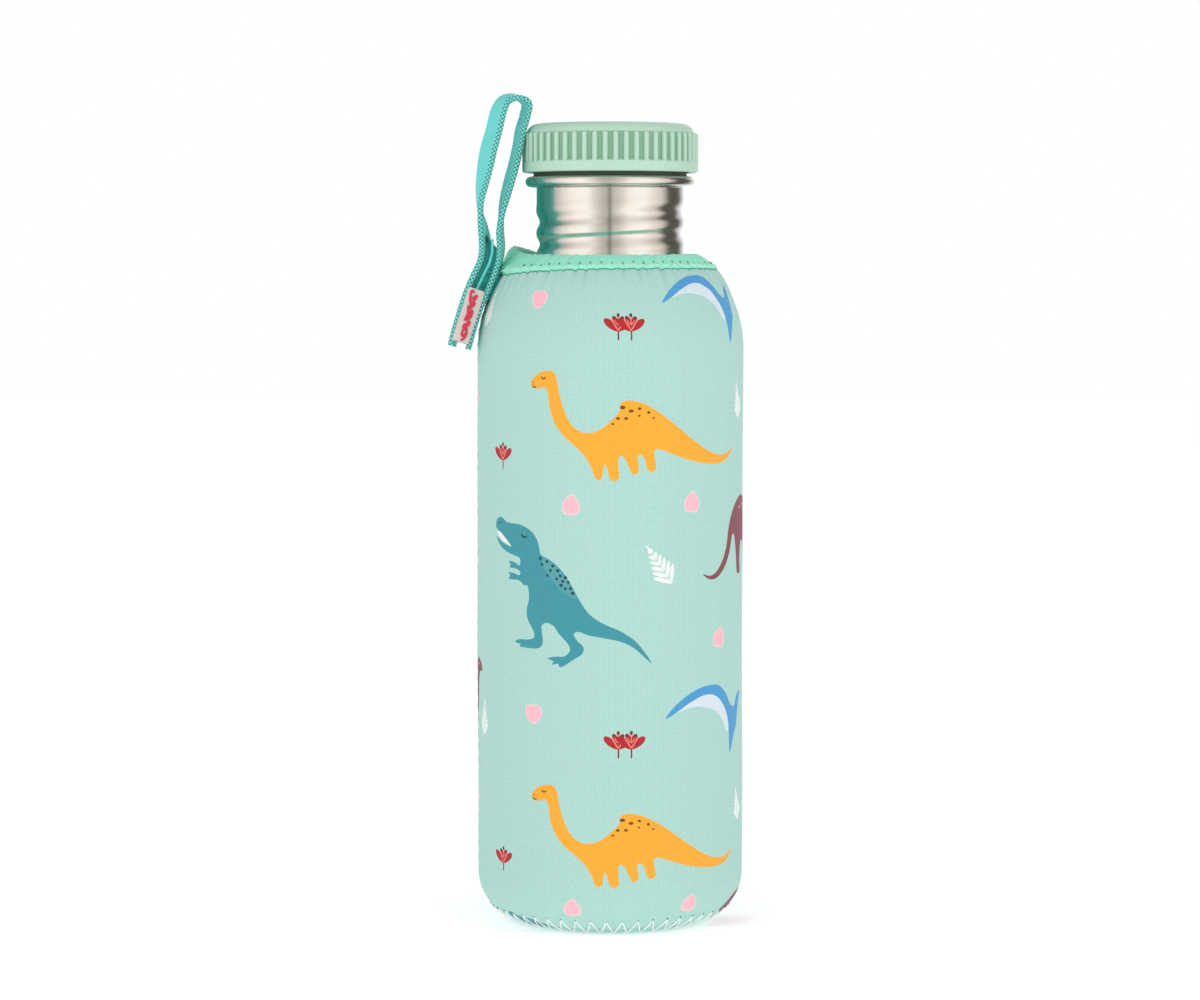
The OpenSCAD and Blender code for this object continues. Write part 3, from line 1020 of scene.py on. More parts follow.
def long_neck() -> list:
    """The yellow long-necked dinosaur: outline, spots, eye and mouth.

    Returns:
        Its patches.
    """
    body = Patch(Ink.YELLOW, (
        (-21.7, 143.2), (-21.3, 144.7), (-19.6, 146.2), (-17.2, 147.0), (-15.1, 146.8),
        (-14.1, 145.0),
        (-13.5, 141.6), (-12.2, 137.2), (-10.4, 133.5), (-8.0, 131.6), (-5.0, 131.2), (-2.4, 132.2),
        (0.2, 134.4), (2.2, 136.6), (2.7, 138.9), (5.0, 139.5), (8.6, 138.7), (12.6, 136.5),
        (17.4, 133.1), (22.6, 129.4), (28.2, 126.2), (32.8, 125.0), (36.6, 125.3), (39.7, 126.7),
        (37.0, 124.0), (32.6, 122.7), (27.2, 122.9), (21.4, 124.0), (16.0, 125.8), (12.6, 127.0),
        (11.4, 126.4), (11.6, 124.2), (11.9, 122.0), (10.8, 121.1), (9.6, 121.8), (8.9, 124.2),
        (7.9, 125.5), (6.9, 125.0), (7.3, 122.5), (6.9, 120.8), (5.6, 120.6), (4.6, 122.6),
        (3.6, 124.8), (2.2, 125.2), (2.0, 122.6), (2.2, 119.8), (1.1, 118.8), (-0.1, 119.5),
        (-0.8, 121.8), (-1.4, 123.2), (-1.9, 121.6), (-2.1, 119.8), (-3.2, 119.0), (-4.2, 120.3),
        (-5.2, 122.9), (-7.2, 125.9), (-9.9, 128.3), (-12.7, 130.8), (-15.0, 134.2), (-16.2, 138.0),
        (-16.6, 141.4), (-17.7, 142.8), (-19.8, 142.3)))
    spots = [(3.1, 137.7, 0.75, 0.5), (5.3, 136.8, 0.7, 0.42), (7.5, 137.4, 0.5, 0.38),
             (9.9, 136.4, 0.45, 0.4), (11.2, 135.0, 0.32, 0.28), (7.4, 135.6, 0.34, 0.3),
             (4.0, 134.9, 0.55, 0.38), (1.9, 134.9, 0.5, 0.4), (0.6, 133.5, 0.4, 0.3)]
    out = [body] + [blob(Ink.BROWN, *s) for s in spots]
    out.append(stroke(Ink.BROWN, [(-18.6, 145.5), (-17.9, 144.9), (-17.2, 145.4)], 0.4))
    out.append(stroke(Ink.BROWN, [(-21.3, 143.3), (-20.8, 142.7), (-20.1, 142.9)], 0.36))
    out.append(blob(Ink.BROWN, -21.1, 144.0, 0.22, 0.2))
    return out


def big_jaw() -> list:
    """The teal two-legged dinosaur with an open mouth: outline, back patch, spots, eye and teeth.

    Returns:
        Its patches.
    """
    body = Patch(Ink.TEAL, (
        (-35.4, 106.0), (-35.3, 107.5), (-34.1, 108.6), (-32.5, 108.6), (-30.8, 107.6),
        (-28.8, 107.3),
        (-26.4, 107.2), (-24.0, 106.6), (-21.7, 105.4), (-20.1, 103.5), (-19.4, 101.6),
        (-19.1, 100.0),
        (-18.2, 99.2), (-15.6, 98.0), (-12.6, 95.4),
        (-10.2, 92.0), (-8.1, 88.2), (-5.6, 84.7), (-2.2, 82.3), (2.4, 80.3), (6.2, 77.8),
        (8.8, 74.8), (10.8, 71.7), (8.6, 73.6), (5.8, 76.0), (2.6, 77.5), (-1.6, 78.4),
        (-5.6, 79.1), (-8.4, 80.0), (-9.6, 79.2), (-8.6, 77.6), (-7.0, 76.0), (-7.4, 74.2),
        (-9.6, 72.8), (-11.8, 71.3), (-13.4, 70.7), (-13.9, 71.6), (-15.7, 71.2), (-15.2, 72.2),
        (-17.0, 72.8), (-14.4, 73.4), (-12.2, 73.5), (-10.6, 75.0), (-11.2, 76.8), (-13.6, 79.3),
        (-15.0, 81.2), (-17.0, 82.0), (-18.6, 81.2), (-18.4, 78.8), (-18.3, 76.6), (-19.6, 75.3),
        (-22.6, 75.2), (-25.6, 75.4), (-25.5, 76.1), (-27.5, 76.5), (-25.8, 77.3), (-22.8, 77.4),
        (-20.9, 78.1), (-21.3, 80.0), (-23.0, 82.6), (-23.3, 85.4), (-22.6, 88.0), (-23.0, 91.2),
        (-24.3, 91.4), (-25.8, 92.5), (-28.1, 92.7), (-30.0, 92.8), (-29.3, 93.7), (-30.1, 94.4),
        (-28.0, 94.4), (-26.0, 93.9), (-25.6, 94.8), (-27.2, 95.6), (-29.5, 95.8), (-29.2, 96.6),
        (-29.8, 97.4), (-27.6, 97.2), (-25.9, 96.4), (-25.7, 98.3), (-27.8, 99.0), (-30.5, 99.7),
        (-32.9, 100.9), (-34.4, 102.2), (-35.1, 103.7), (-33.0, 102.4), (-30.8, 101.6),
        (-28.8, 101.2), (-30.8, 102.9), (-33.0, 104.4), (-34.7, 105.3)))
    patch = Patch(Ink.TEAL_LIGHT, (
        (-17.8, 99.0), (-15.4, 97.7), (-12.8, 95.1), (-10.4, 91.8), (-8.8, 88.8), (-10.6, 89.0),
        (-13.2, 90.8), (-16.0, 93.8), (-18.4, 97.0)))
    dots = [(-19.0, 98.6), (-17.0, 97.9), (-18.5, 97.1), (-15.3, 96.8), (-16.0, 95.6),
            (-16.9, 94.3),
            (-13.9, 95.6), (-13.2, 94.3), (-14.2, 93.5), (-11.8, 93.9), (-12.5, 92.9),
            (-11.0, 92.7),
            (-13.0, 91.9), (-10.4, 91.1), (-11.8, 91.0), (-9.8, 89.9)]
    out = [body, patch]
    out += [blob(Ink.TEAL_DARK, x, y, 0.5 - 0.07 * (i % 3), 0.42) for i, (x, y) in enumerate(dots)]
    out.append(stroke(Ink.TEAL_DARK, [(-25.3, 104.6), (-24.4, 103.9), (-23.2, 104.0)], 0.5))
    out.append(blob(Ink.TEAL_DARK, -33.9, 107.1, 0.3, 0.25))
    out.append(blob(Ink.TEAL_DARK, -32.7, 107.3, 0.22, 0.2))
    out.append(Patch(Ink.WHITE, ((-35.0, 105.2), (-34.3, 103.8), (-32.0, 102.4), (-28.9, 101.3),
                                 (-30.9, 103.1), (-33.2, 104.7)), False))
    return out


def winged() -> list:
    """The blue winged dinosaur: one long arched wing either side of its body, with a pale inside.

    Returns:
        Its patches.
    """
    wing = ((14.6, 57.2), (17.6, 60.6), (22.4, 63.6), (27.6, 65.0), (32.4, 64.8), (36.0, 62.4),
            (38.6, 59.2), (41.2, 58.6), (43.6, 61.4), (46.6, 62.0), (45.4, 60.2), (44.0, 57.0),
            (43.0, 53.4), (41.4, 51.4), (40.4, 49.6), (38.5, 46.4), (38.0, 49.8), (37.7, 53.6),
            (36.4, 57.2), (33.8, 60.4), (30.4, 62.4), (26.6, 62.6), (22.0, 61.0), (18.0, 58.8))
    pale = ((17.6, 58.6), (22.0, 61.0), (26.6, 62.6), (30.4, 62.4), (33.8, 60.4), (36.4, 57.2),
            (37.6, 53.4), (36.6, 52.2), (34.4, 55.4), (31.4, 58.0), (27.4, 59.4), (22.8, 59.8))
    eye = blob(Ink.TEAL_DARK, 43.6, 60.4, 0.3, 0.3)
    return [Patch(Ink.LILAC, pale), Patch(Ink.BLUE, wing), eye]


def crested() -> list:
    """The plum dinosaur that looks round the side: tail, legs, body, neck and crest.

    Returns:
        Its patches.
    """
    body = Patch(Ink.PLUM, (
        (26.2, 94.2), (29.0, 93.6), (31.8, 94.6), (34.6, 97.4), (36.6, 101.0), (37.8, 105.6),
        (40.0, 109.6), (43.6, 112.6), (48.0, 113.8), (52.4, 113.0), (55.8, 114.6), (57.8, 118.6),
        (58.4, 122.6), (60.8, 124.4), (64.2, 123.2), (65.4, 121.2), (62.6, 120.6), (61.2, 117.0),
        (60.4, 111.8), (58.0, 107.4), (55.8, 103.8), (55.4, 98.6), (55.8, 94.8), (53.2, 94.4),
        (52.4, 98.4), (50.6, 101.4), (47.6, 101.2), (46.4, 97.0), (46.6, 93.6), (43.8, 93.4),
        (43.0, 98.0), (41.8, 103.0), (40.2, 103.6), (38.4, 99.2), (35.4, 95.2), (31.6, 92.8),
        (28.4, 92.8)))
    return [body, blob(Ink.WHITE, 61.2, 122.6, 0.4, 0.4)] + [
        blob(Ink.PINK, x, y, 0.5, 0.4) for x, y in ((46.2, 110.6), (49.4, 111.2), (52.2, 109.8))]


@dataclass
class Print:
    """The repeating print: one tile of patches, laid out round and up the sleeve. The cloth is
    stretched a little less towards the base, so everything below tight_below closes up."""

    tile_w: float = 110.27
    tile_h: float = 107.5
    tight_below: float = 47.0
    tightness: float = 0.066

    def tile(self) -> list:
        """One repeat of the print, as it lies on the front.

        Returns:
            Its patches.
        """
        out = long_neck() + big_jaw() + winged() + crested()
        out += tulip(2.0, 154.8) + tulip(5.4, 154.8)
        out += tulip(-32.2, 121.2, 0.98)
        for spot in ((-10.3, 112.6, 0), (22.6, 113.0, -4), (32.9, 77.3, -14), (-21.3, 58.4, 62),
                     (-51.5, 140.0, 10), (-54.0, 91.0, 0)):
            out += drop(*spot)
        out += fern(16.3, 92.2, 35) + fern(-43.2, 50.4, -3, 10.6) + fern(44.5, 134.0, 12, 10.2)
        return out

    def patches(self, low: tuple, high: tuple) -> list:
        """Every patch that reaches into a rectangle of the sleeve.

        Args:
            low: the least distance round and height.
            high: the greatest distance round and height.

        Returns:
            (ink, outline) pairs, the later ones printed on top.
        """
        out = []
        for patch in self.tile():
            line = patch.outline()
            for col in range(-2, 3):
                for row in range(-3, 3):
                    lift = row + (0.5 if col % 2 else 0.0)
                    moved = line + (col * self.tile_w, lift * self.tile_h)
                    moved[:, 1] += self.tightness * np.clip(self.tight_below - moved[:, 1], 0, None)
                    before = (moved.max(0) < np.array(low) + 0.3).any()
                    if before or (moved.min(0) > np.array(high) - 0.3).any():
                        continue
                    out.append((patch.ink, np.clip(moved, low, high)))
        return out


def inside(points: np.ndarray, outline: np.ndarray) -> np.ndarray:
    """Which points lie inside a closed outline, by counting the sides to their right.

    Args:
        points: (n, 2) points.
        outline: (m, 2) outline.

    Returns:
        (n,) truth values.
    """
    a, b = outline, np.roll(outline, -1, 0)
    x, y = points[:, 0, None], points[:, 1, None]
    spans = (a[None, :, 1] > y) != (b[None, :, 1] > y)
    rise = np.where(b[:, 1] == a[:, 1], 1.0, b[:, 1] - a[:, 1])
    cross = a[:, 0] + (y - a[:, 1]) * (b[:, 0] - a[:, 0]) / rise
    return (spans & (x < cross)).sum(1) % 2 == 1


# ---------------------------------------------------------------- sleeve


@dataclass
class Sleeve:
    """The neoprene sleeve: printed side panel, base disc, elastic mouth and stitching."""

    r: float = 35.1
    steel_corner: float = 10.2
    gap: float = 0.3
    wall: float = 2.5
    steel_r: float = 32.3
    corner_z: float = 13.0
    shoulder_z: float = 152.0
    seam_r: float = 28.0
    fold_r: float = 27.925
    fold_z: float = 172.41
    slope: float = 55.0
    binding_w: float = 6.5
    binding_t: float = 0.7
    edge_wall: float = 1.6
    seam_azimuth: float = 176.0
    fabric: float = 0.4
    step: float = 1.3
    stitches: int = 49
    gathers: int = 52
    edge_stitches: int = 170
    cross_stitches: int = 59
    stitch_rise: float = 3.2
    seam_above: float = 1.7
    mean_r: float = 26.0

    def __post_init__(self) -> None:
        """Works out the arcs that join the base, the straight wall and the mouth."""
        self.corner = self.steel_corner + self.gap + self.wall
        self.corner_r = self.steel_r - self.steel_corner
        draw_h = self.fold_z - self.shoulder_z
        self.draw_a = 2 * math.degrees(math.atan((self.r - self.fold_r) / draw_h))
        self.draw_r = draw_h / math.sin(math.radians(self.draw_a))
        self.seam_a = math.degrees(math.acos((self.seam_r - self.corner_r) / self.corner))
        self.low = self.corner_z - math.radians(self.seam_a) * self.corner
        self.fold = self.shoulder_z + math.radians(self.draw_a) * self.draw_r
        self.high = self.fold + self.binding_w

    def outline(self, h: np.ndarray) -> tuple[np.ndarray, np.ndarray]:
        """The side panel's outside at h, which is height on the straight wall and distance along
        the outline beyond it.

        Args:
            h: positions along the outline.

        Returns:
            Points (n, 2) as radius and height, and the outward normals (n, 2).
        """
        h = np.asarray(h, float)
        low = np.clip((h - self.corner_z) / self.corner, None, 0)
        up = np.clip((h - self.shoulder_z) / self.draw_r, 0, math.radians(self.draw_a))
        edge = np.clip(h - self.fold, 0, None)
        a = low + up
        n = np.stack([np.cos(a), np.sin(a)], -1)
        straight = np.clip(h, self.corner_z, self.shoulder_z)
        r = self.r - self.corner * (1 - np.cos(low)) - self.draw_r * (1 - np.cos(up))
        z = straight + self.corner * np.sin(low) + self.draw_r * np.sin(up)
        s = math.radians(self.slope)
        r, z = r - edge * math.sin(s), z + edge * math.cos(s)
        blend = smoothstep(h, self.fold - 1.5, self.fold + 1.5)[..., None]
        n = n * (1 - blend) + np.array([math.cos(s), math.sin(s)]) * blend
        return np.stack([r, z], -1), n / np.linalg.norm(n, axis=-1, keepdims=True)

    def puckers(self, azimuth: np.ndarray, h: np.ndarray) -> np.ndarray:
        """How far the gathered cloth swells out below the binding: a sum of waves round the mouth
        that die away down the shoulder, less a short narrow crease at each gather.

        Args:
            azimuth: directions in degrees.
            h: positions along the outline.

        Returns:
            The swell in millimetres, never so far in that the foam would show.
        """
        rng = np.random.default_rng(SEED)
        t = np.radians(azimuth)
        wave = np.zeros(np.broadcast_shapes(np.shape(azimuth), np.shape(h)))
        for k, size in ((23, 0.5), (37, 0.6), (48, 0.8), (61, 0.7), (74, 0.5)):
            wave = wave + size * np.sin(k * t + rng.uniform(0, 6.28))
        patchy = 0.65 + 0.35 * np.sin(5 * t + 1.1)
        fade = smoothstep(h, self.fold - 11, self.fold - 1.5) * (
            1 - smoothstep(h, self.fold, self.fold + 2.5))
        soft = 0.08 * np.sin(3 * t + 0.5 + h * 0.05) + 0.05 * np.sin(7 * t - h * 0.11)
        crease = np.zeros_like(wave)
        for i in range(self.gathers):
            middle = (i + rng.uniform(-0.25, 0.25)) * 360 / self.gathers
            reach, depth = rng.uniform(3.0, 7.5), rng.uniform(0.25, 0.75)
            drift = middle + (self.fold - h) * rng.uniform(-0.12, 0.12)
            crease = crease + depth * bump(turn_off(azimuth, drift), 0.75) * smoothstep(
                h, self.fold - reach, self.fold + 0.5)
        return np.maximum((0.16 * wave * patchy + 0.3) * fade + 0.08 + soft - crease, -0.24)

    def lift(self, azimuth: np.ndarray, h: np.ndarray) -> np.ndarray:
        """How far the mouth's edge stands up above its even shape: most beside the carry loop.

        Args:
            azimuth: directions in degrees.
            h: positions along the outline.

        Returns:
            The rise in millimetres, a sum of bells that fades out below the fold.
        """
        near = bump(turn_off(azimuth, 158), 15) * 1.3 + bump(turn_off(azimuth, 172), 20) * 1.5
        near = near + bump(turn_off(azimuth, 60), 60) * 0.4
        return near * smoothstep(h, self.fold - 3, self.high)

    def surface(
        self, azimuth: np.ndarray, h: np.ndarray, out: float | np.ndarray = 0.0
    ) -> np.ndarray:
        """Points on the panel, or above it by out.

        Args:
            azimuth: directions in degrees.
            h: positions along the outline.
            out: distance off the face.

        Returns:
            (..., 3) points in millimetres.
        """
        azimuth, h, out = np.broadcast_arrays(azimuth, h, out)
        p, n = self.outline(h)
        swell = self.puckers(azimuth, h) * smoothstep(h, self.low, self.low + 6)
        p = p + n * (swell + out)[..., None]
        lift = self.lift(azimuth, h)
        return around(p[..., 0] + 1.5 * lift, azimuth, p[..., 1] + lift)

    def panel(self, palette: Palette, pattern: Print) -> bpy.types.Object:
        """The printed side panel: a flat rectangle cut into triangles along the print's outlines,
        then wrapped round the bottle, with its thickness behind it.

        A finer grid lies below the binding, where the creases are.

        Args:
            palette: the materials.
            pattern: the print.

        Returns:
            The panel.
        """
        per = math.degrees(1 / self.r)
        start = turn_off(np.array(self.seam_azimuth), 270) / per
        lo, hi = (float(start), self.low), (float(start) + 360 / per, self.high)
        cols = int(round((hi[0] - lo[0]) / self.step))
        rows = int(round((hi[1] - lo[1]) / self.step))
        gx, gy = np.meshgrid(
            np.linspace(lo[0], hi[0], cols + 1), np.linspace(lo[1], hi[1], rows + 1))
        fx, fy = np.meshgrid(
            np.arange(lo[0] + 0.2, hi[0], 0.4), np.arange(self.fold - 7.6, self.fold + 1.5, 1.1))
        flat = [np.c_[gx.ravel(), gy.ravel()]]
        border = np.concatenate([
            np.arange(cols), cols + (cols + 1) * np.arange(rows),
            (cols + 1) * rows + cols - np.arange(cols), (cols + 1) * (rows - np.arange(rows))])
        edges = [np.c_[border, np.roll(border, -1)]]
        flat.append(np.c_[fx.ravel(), fy.ravel()])
        patches, count = pattern.patches(lo, hi), len(flat[0]) + len(flat[1])
        for _, line in patches:
            flat.append(line)
            k = np.arange(len(line))
            edges.append(np.c_[count + k, count + np.roll(k, -1)])
            count += len(line)
        made = delaunay_2d_cdt(
            [tuple(p) for p in np.concatenate(flat).tolist()],
            [tuple(e) for e in np.concatenate(edges).tolist()], [], 0, 1e-4, False)
        uv = np.array([tuple(v) for v in made[0]])
        tri = np.array([list(f) for f in made[2]])
        middle = uv[tri].mean(1)
        ink = np.zeros(len(tri), int)
        order = list(Ink)
        for colour, line in patches:
            boxed = (middle > line.min(0)) & (middle < line.max(0))
            near = np.where(boxed.all(1))[0]
            if len(near):
                ink[near[inside(middle[near], line)]] = order.index(colour)
        corner = uv[tri]
        area = np.cross(corner[:, 1] - corner[:, 0], corner[:, 2] - corner[:, 0])
        tri[area < 0] = tri[area < 0][:, ::-1]
        azimuth = 270 + uv[:, 0] * per
        front = self.surface(azimuth, uv[:, 1])
        back = self.surface(azimuth, uv[:, 1], -self.fabric)
        directed = np.concatenate([tri[:, [0, 1]], tri[:, [1, 2]], tri[:, [2, 0]]])
        pairs = np.sort(directed, axis=1)
        _, first, times = np.unique(pairs, axis=0, return_index=True, return_counts=True)
        rim = directed[first[times == 1]]
        n = len(uv)
        sides = np.concatenate([
            np.c_[rim[:, 1], rim[:, 0], rim[:, 0] + n],
            np.c_[rim[:, 1], rim[:, 0] + n, rim[:, 1] + n]])
        faces = np.concatenate([tri, tri[:, ::-1] + n, sides])
        obj = new_object("printed_panel", np.concatenate([front, back]), faces,
                         [palette.inks[i] for i in order])
        colours = np.zeros(len(faces), np.int32)
        colours[: len(tri)] = ink
        obj.data.polygons.foreach_set("material_index", colours)
        set_uv(obj, np.concatenate([uv, uv]))
        log.info("panel: %d triangles, %d patches", len(faces), len(patches))
        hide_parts("sleeve_face")
        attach(obj, "sleeve")
        return obj

    def low_edge(self, azimuth: np.ndarray) -> np.ndarray:
        """Where the binding's outer edge lies: highest at the front, lowest beside the loop."""
        beside, right = bump(turn_off(azimuth, 182), 60), bump(turn_off(azimuth, 0), 50)
        return self.fold + 1.3 - 2.9 * beside - 0.9 * right

    def binding(self, palette: Palette) -> bpy.types.Object:
        """The elastic tape: a rounded strip folded over the mouth's edge, its outer edge curled in.

        Its section runs up the outside, over the edge in a half turn, down the inside and back
        into the cloth, and is carried round the mouth.

        Args:
            palette: the materials.

        Returns:
            The binding.
        """
        cols, t = 360, self.binding_t
        azimuth = np.linspace(0, 360, cols, endpoint=False)
        low = self.low_edge(azimuth)
        top = np.full(cols, self.high)
        share = np.linspace(0, 1, 15)
        outer_h = low[None] + (top - low)[None] * share[:, None]
        curl = t * np.sqrt(np.clip(1 - (1 - np.clip(share * 7, 0, 1)) ** 2, 0, 1))
        outer_out = (curl + 0.25 * (4 * share * (1 - share)))[:, None] * np.ones(cols)
        fold_t = np.linspace(0, math.pi, 9)[1:-1, None]
        thick = (self.edge_wall + 2 * t) / 2
        fold_h = self.high + (t + 0.1) * np.sin(fold_t) + 0 * azimuth
        fold_out = t - thick + thick * np.cos(fold_t) + 0 * azimuth
        inner_h = self.high + (low + 0.6 - self.high)[None] * np.linspace(0, 1, 9)[:, None]
        inner_out = np.full_like(inner_h, t - 2 * thick)
        inner_out[-1] += t * 0.5
        back_h = self.high + (low - self.high)[None] * np.linspace(0.94, 1, 3)[:, None]
        back_out = np.full_like(back_h, -self.fabric * 0.5)
        h = np.concatenate([outer_h, fold_h, inner_h, back_h])
        out = np.concatenate([outer_out, fold_out, inner_out, back_out])
        around_mouth = np.radians(azimuth)
        wav = 0.06 * np.sin(around_mouth * 48 + 0.6) + 0.05 * np.sin(around_mouth * 31)
        pts = self.surface(azimuth[None], h, out + wav[None])
        rows = len(h)
        loops = grid_faces(rows, cols, True, True)
        obj = new_object("elastic_binding", pts.reshape(-1, 3), loops, [palette.binding])
        column = loops % cols
        last = (column.max(1) - column.min(1) > 1)[:, None] & (column == 0)
        round_mm = np.where(last, cols, column) * math.radians(360 / cols) * self.mean_r
        h_mm = h.ravel()[loops]
        set_uv(obj, np.stack([h_mm, round_mm], -1).reshape(-1, 2))
        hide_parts("mouth_binding")
        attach(obj, "sleeve")
        return obj

    def binding_seam(self, palette: Palette) -> bpy.types.Object:
        """The binding's stitching: a fine zigzag along its outer edge over a dark line of painted
        shadow, and a row of short dark stitches across it, which stops beside the loop.

        The zigzag's height is a triangle wave, one for each stitch.

        Args:
            palette: the materials.

        Returns:
            The zigzag.
        """
        s = np.linspace(0, self.edge_stitches, self.edge_stitches * 8, endpoint=False)
        tri = 2 * np.abs((s % 1) - 0.5)
        a = s * 360 / self.edge_stitches
        path = self.surface(a, self.low_edge(a) + 0.45 + 0.4 * tri, self.binding_t + 0.1)
        edge = tube("binding_edge_stitch", path, 0.13, 6, True, [palette.mint_thread])
        # A dark tube just under the binding's lower edge: the painted shadow of that edge.
        a = np.linspace(0, 360, 480, endpoint=False)
        under = self.surface(a, self.low_edge(a) - 0.06, 0.04)
        under_shadow = tube("binding_hem", under, 0.16, 6, True, [palette.needle_mark_and_shadow])
        short = []
        for i in range(self.cross_stitches):
            a = np.full(5, (i + 0.4) * 360 / self.cross_stitches)
            if abs(turn_off(a[0], 190)) < 26:
                continue
            up = np.linspace(1.5, 2.3, 5)
            dip = np.array([-0.15, 0.08, 0.1, 0.08, -0.15])
            short.append(self.surface(a, self.low_edge(a) + up, self.binding_t + dip + 0.2))
        across = join_tubes("binding_cross_stitch", short, 0.2, 6, [palette.needle_mark_and_shadow])
        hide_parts("binding_stitches")
        for obj in (edge, under_shadow, across):
            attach(obj, "sleeve")
        return edge

    def base_seam(self, palette: Palette) -> bpy.types.Object:
        """The zigzag over the base seam: straight legs between holes above and below the seam.

        Args:
            palette: the materials.

        Returns:
            The zigzag.
        """
        n = self.stitches
        legs = 10
        step = 360 / n
        path = []
        for i in range(n):
            for side, a0 in ((1, i), (-1, i + 0.5)):
                s = np.linspace(0, 1, legs, endpoint=False)
                a = (a0 + s * 0.5) * step
                level = side * (2 * s - 1)
                out = 0.22 * np.sqrt(np.clip(1 - level**6, 0, 1)) - 0.08
                path.append(self.base_point(a, self.seam_above + level * self.stitch_rise, out))
        obj = tube("base_zigzag", np.concatenate(path), 0.19, 8, True, [palette.thread])
        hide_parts("base_seam_thread")
        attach(obj, "sleeve")
        rise, dip = np.array([4.85, 5.15, 5.45]), np.array([-0.06, 0.1, -0.06])
        pits = [self.base_point(np.full(3, (i + 0.5) * step), rise, dip) for i in range(n)]
        holes = join_tubes("needle_holes", pits, 0.19, 6, [palette.inks[Ink.TEAL_DARK]])
        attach(holes, "sleeve")
        return obj

    def base_point(self, azimuth: np.ndarray, beyond: np.ndarray, out: np.ndarray) -> np.ndarray:
        """Points on the rounded corner, or above it by out.

        Args:
            azimuth: directions in degrees.
            beyond: millimetres up the outline from the base seam.
            out: distance off the face.

        Returns:
            (n, 3) points in millimetres.
        """
        a = np.radians(-self.seam_a) + np.asarray(beyond) / self.corner
        reach = self.corner + out
        return around(self.corner_r + reach * np.cos(a), azimuth, self.corner_z + reach * np.sin(a))

    def side_seam(self, palette: Palette) -> bpy.types.Object:
        """The flat zigzag that joins the panel's two ends, from the corner to the shoulder.

        Args:
            palette: the materials.

        Returns:
            The zigzag.
        """
        pitch, half = 3.7, 1.6
        n = int((self.shoulder_z + 14 - self.corner_z) / pitch)
        s = np.linspace(0, n, n * 16 + 1)
        tri = 2 * np.abs((s % 1) - 0.5)
        level = 1 - 2 * tri
        out = 0.16 * np.sqrt(np.clip(1 - level**6, 0, 1)) - 0.02
        h = self.corner_z + 1 + s * pitch
        azimuth = self.seam_azimuth + math.degrees(1 / self.r) * half * level
        obj = tube("side_zigzag", self.surface(azimuth, h, out), 0.18, 6, False, [palette.thread])
        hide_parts("side_seam_thread")
        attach(obj, "sleeve")
        return obj

    def build(self, palette: Palette, pattern: Print) -> list:
        """Makes every piece of the sleeve but the loop.

        Args:
            palette: the materials.
            pattern: the print.

        Returns:
            The made objects.
        """
        made = [self.panel(palette, pattern), self.binding(palette), self.binding_seam(palette),
                self.base_seam(palette), self.side_seam(palette)]
        dress("sleeve_foam", palette.foam, 40)
        dress("sleeve_lining", palette.lining, 40)
        disc = dress("sleeve_base", palette.inks[Ink.MINT], 40)
        co = np.empty(len(disc.data.vertices) * 3)
        disc.data.vertices.foreach_get("co", co)
        while disc.data.uv_layers:
            disc.data.uv_layers.remove(disc.data.uv_layers[0])
        set_uv(disc, co.reshape(-1, 3)[:, :2] / MM)
        return made


# ---------------------------------------------------------------- carry loop


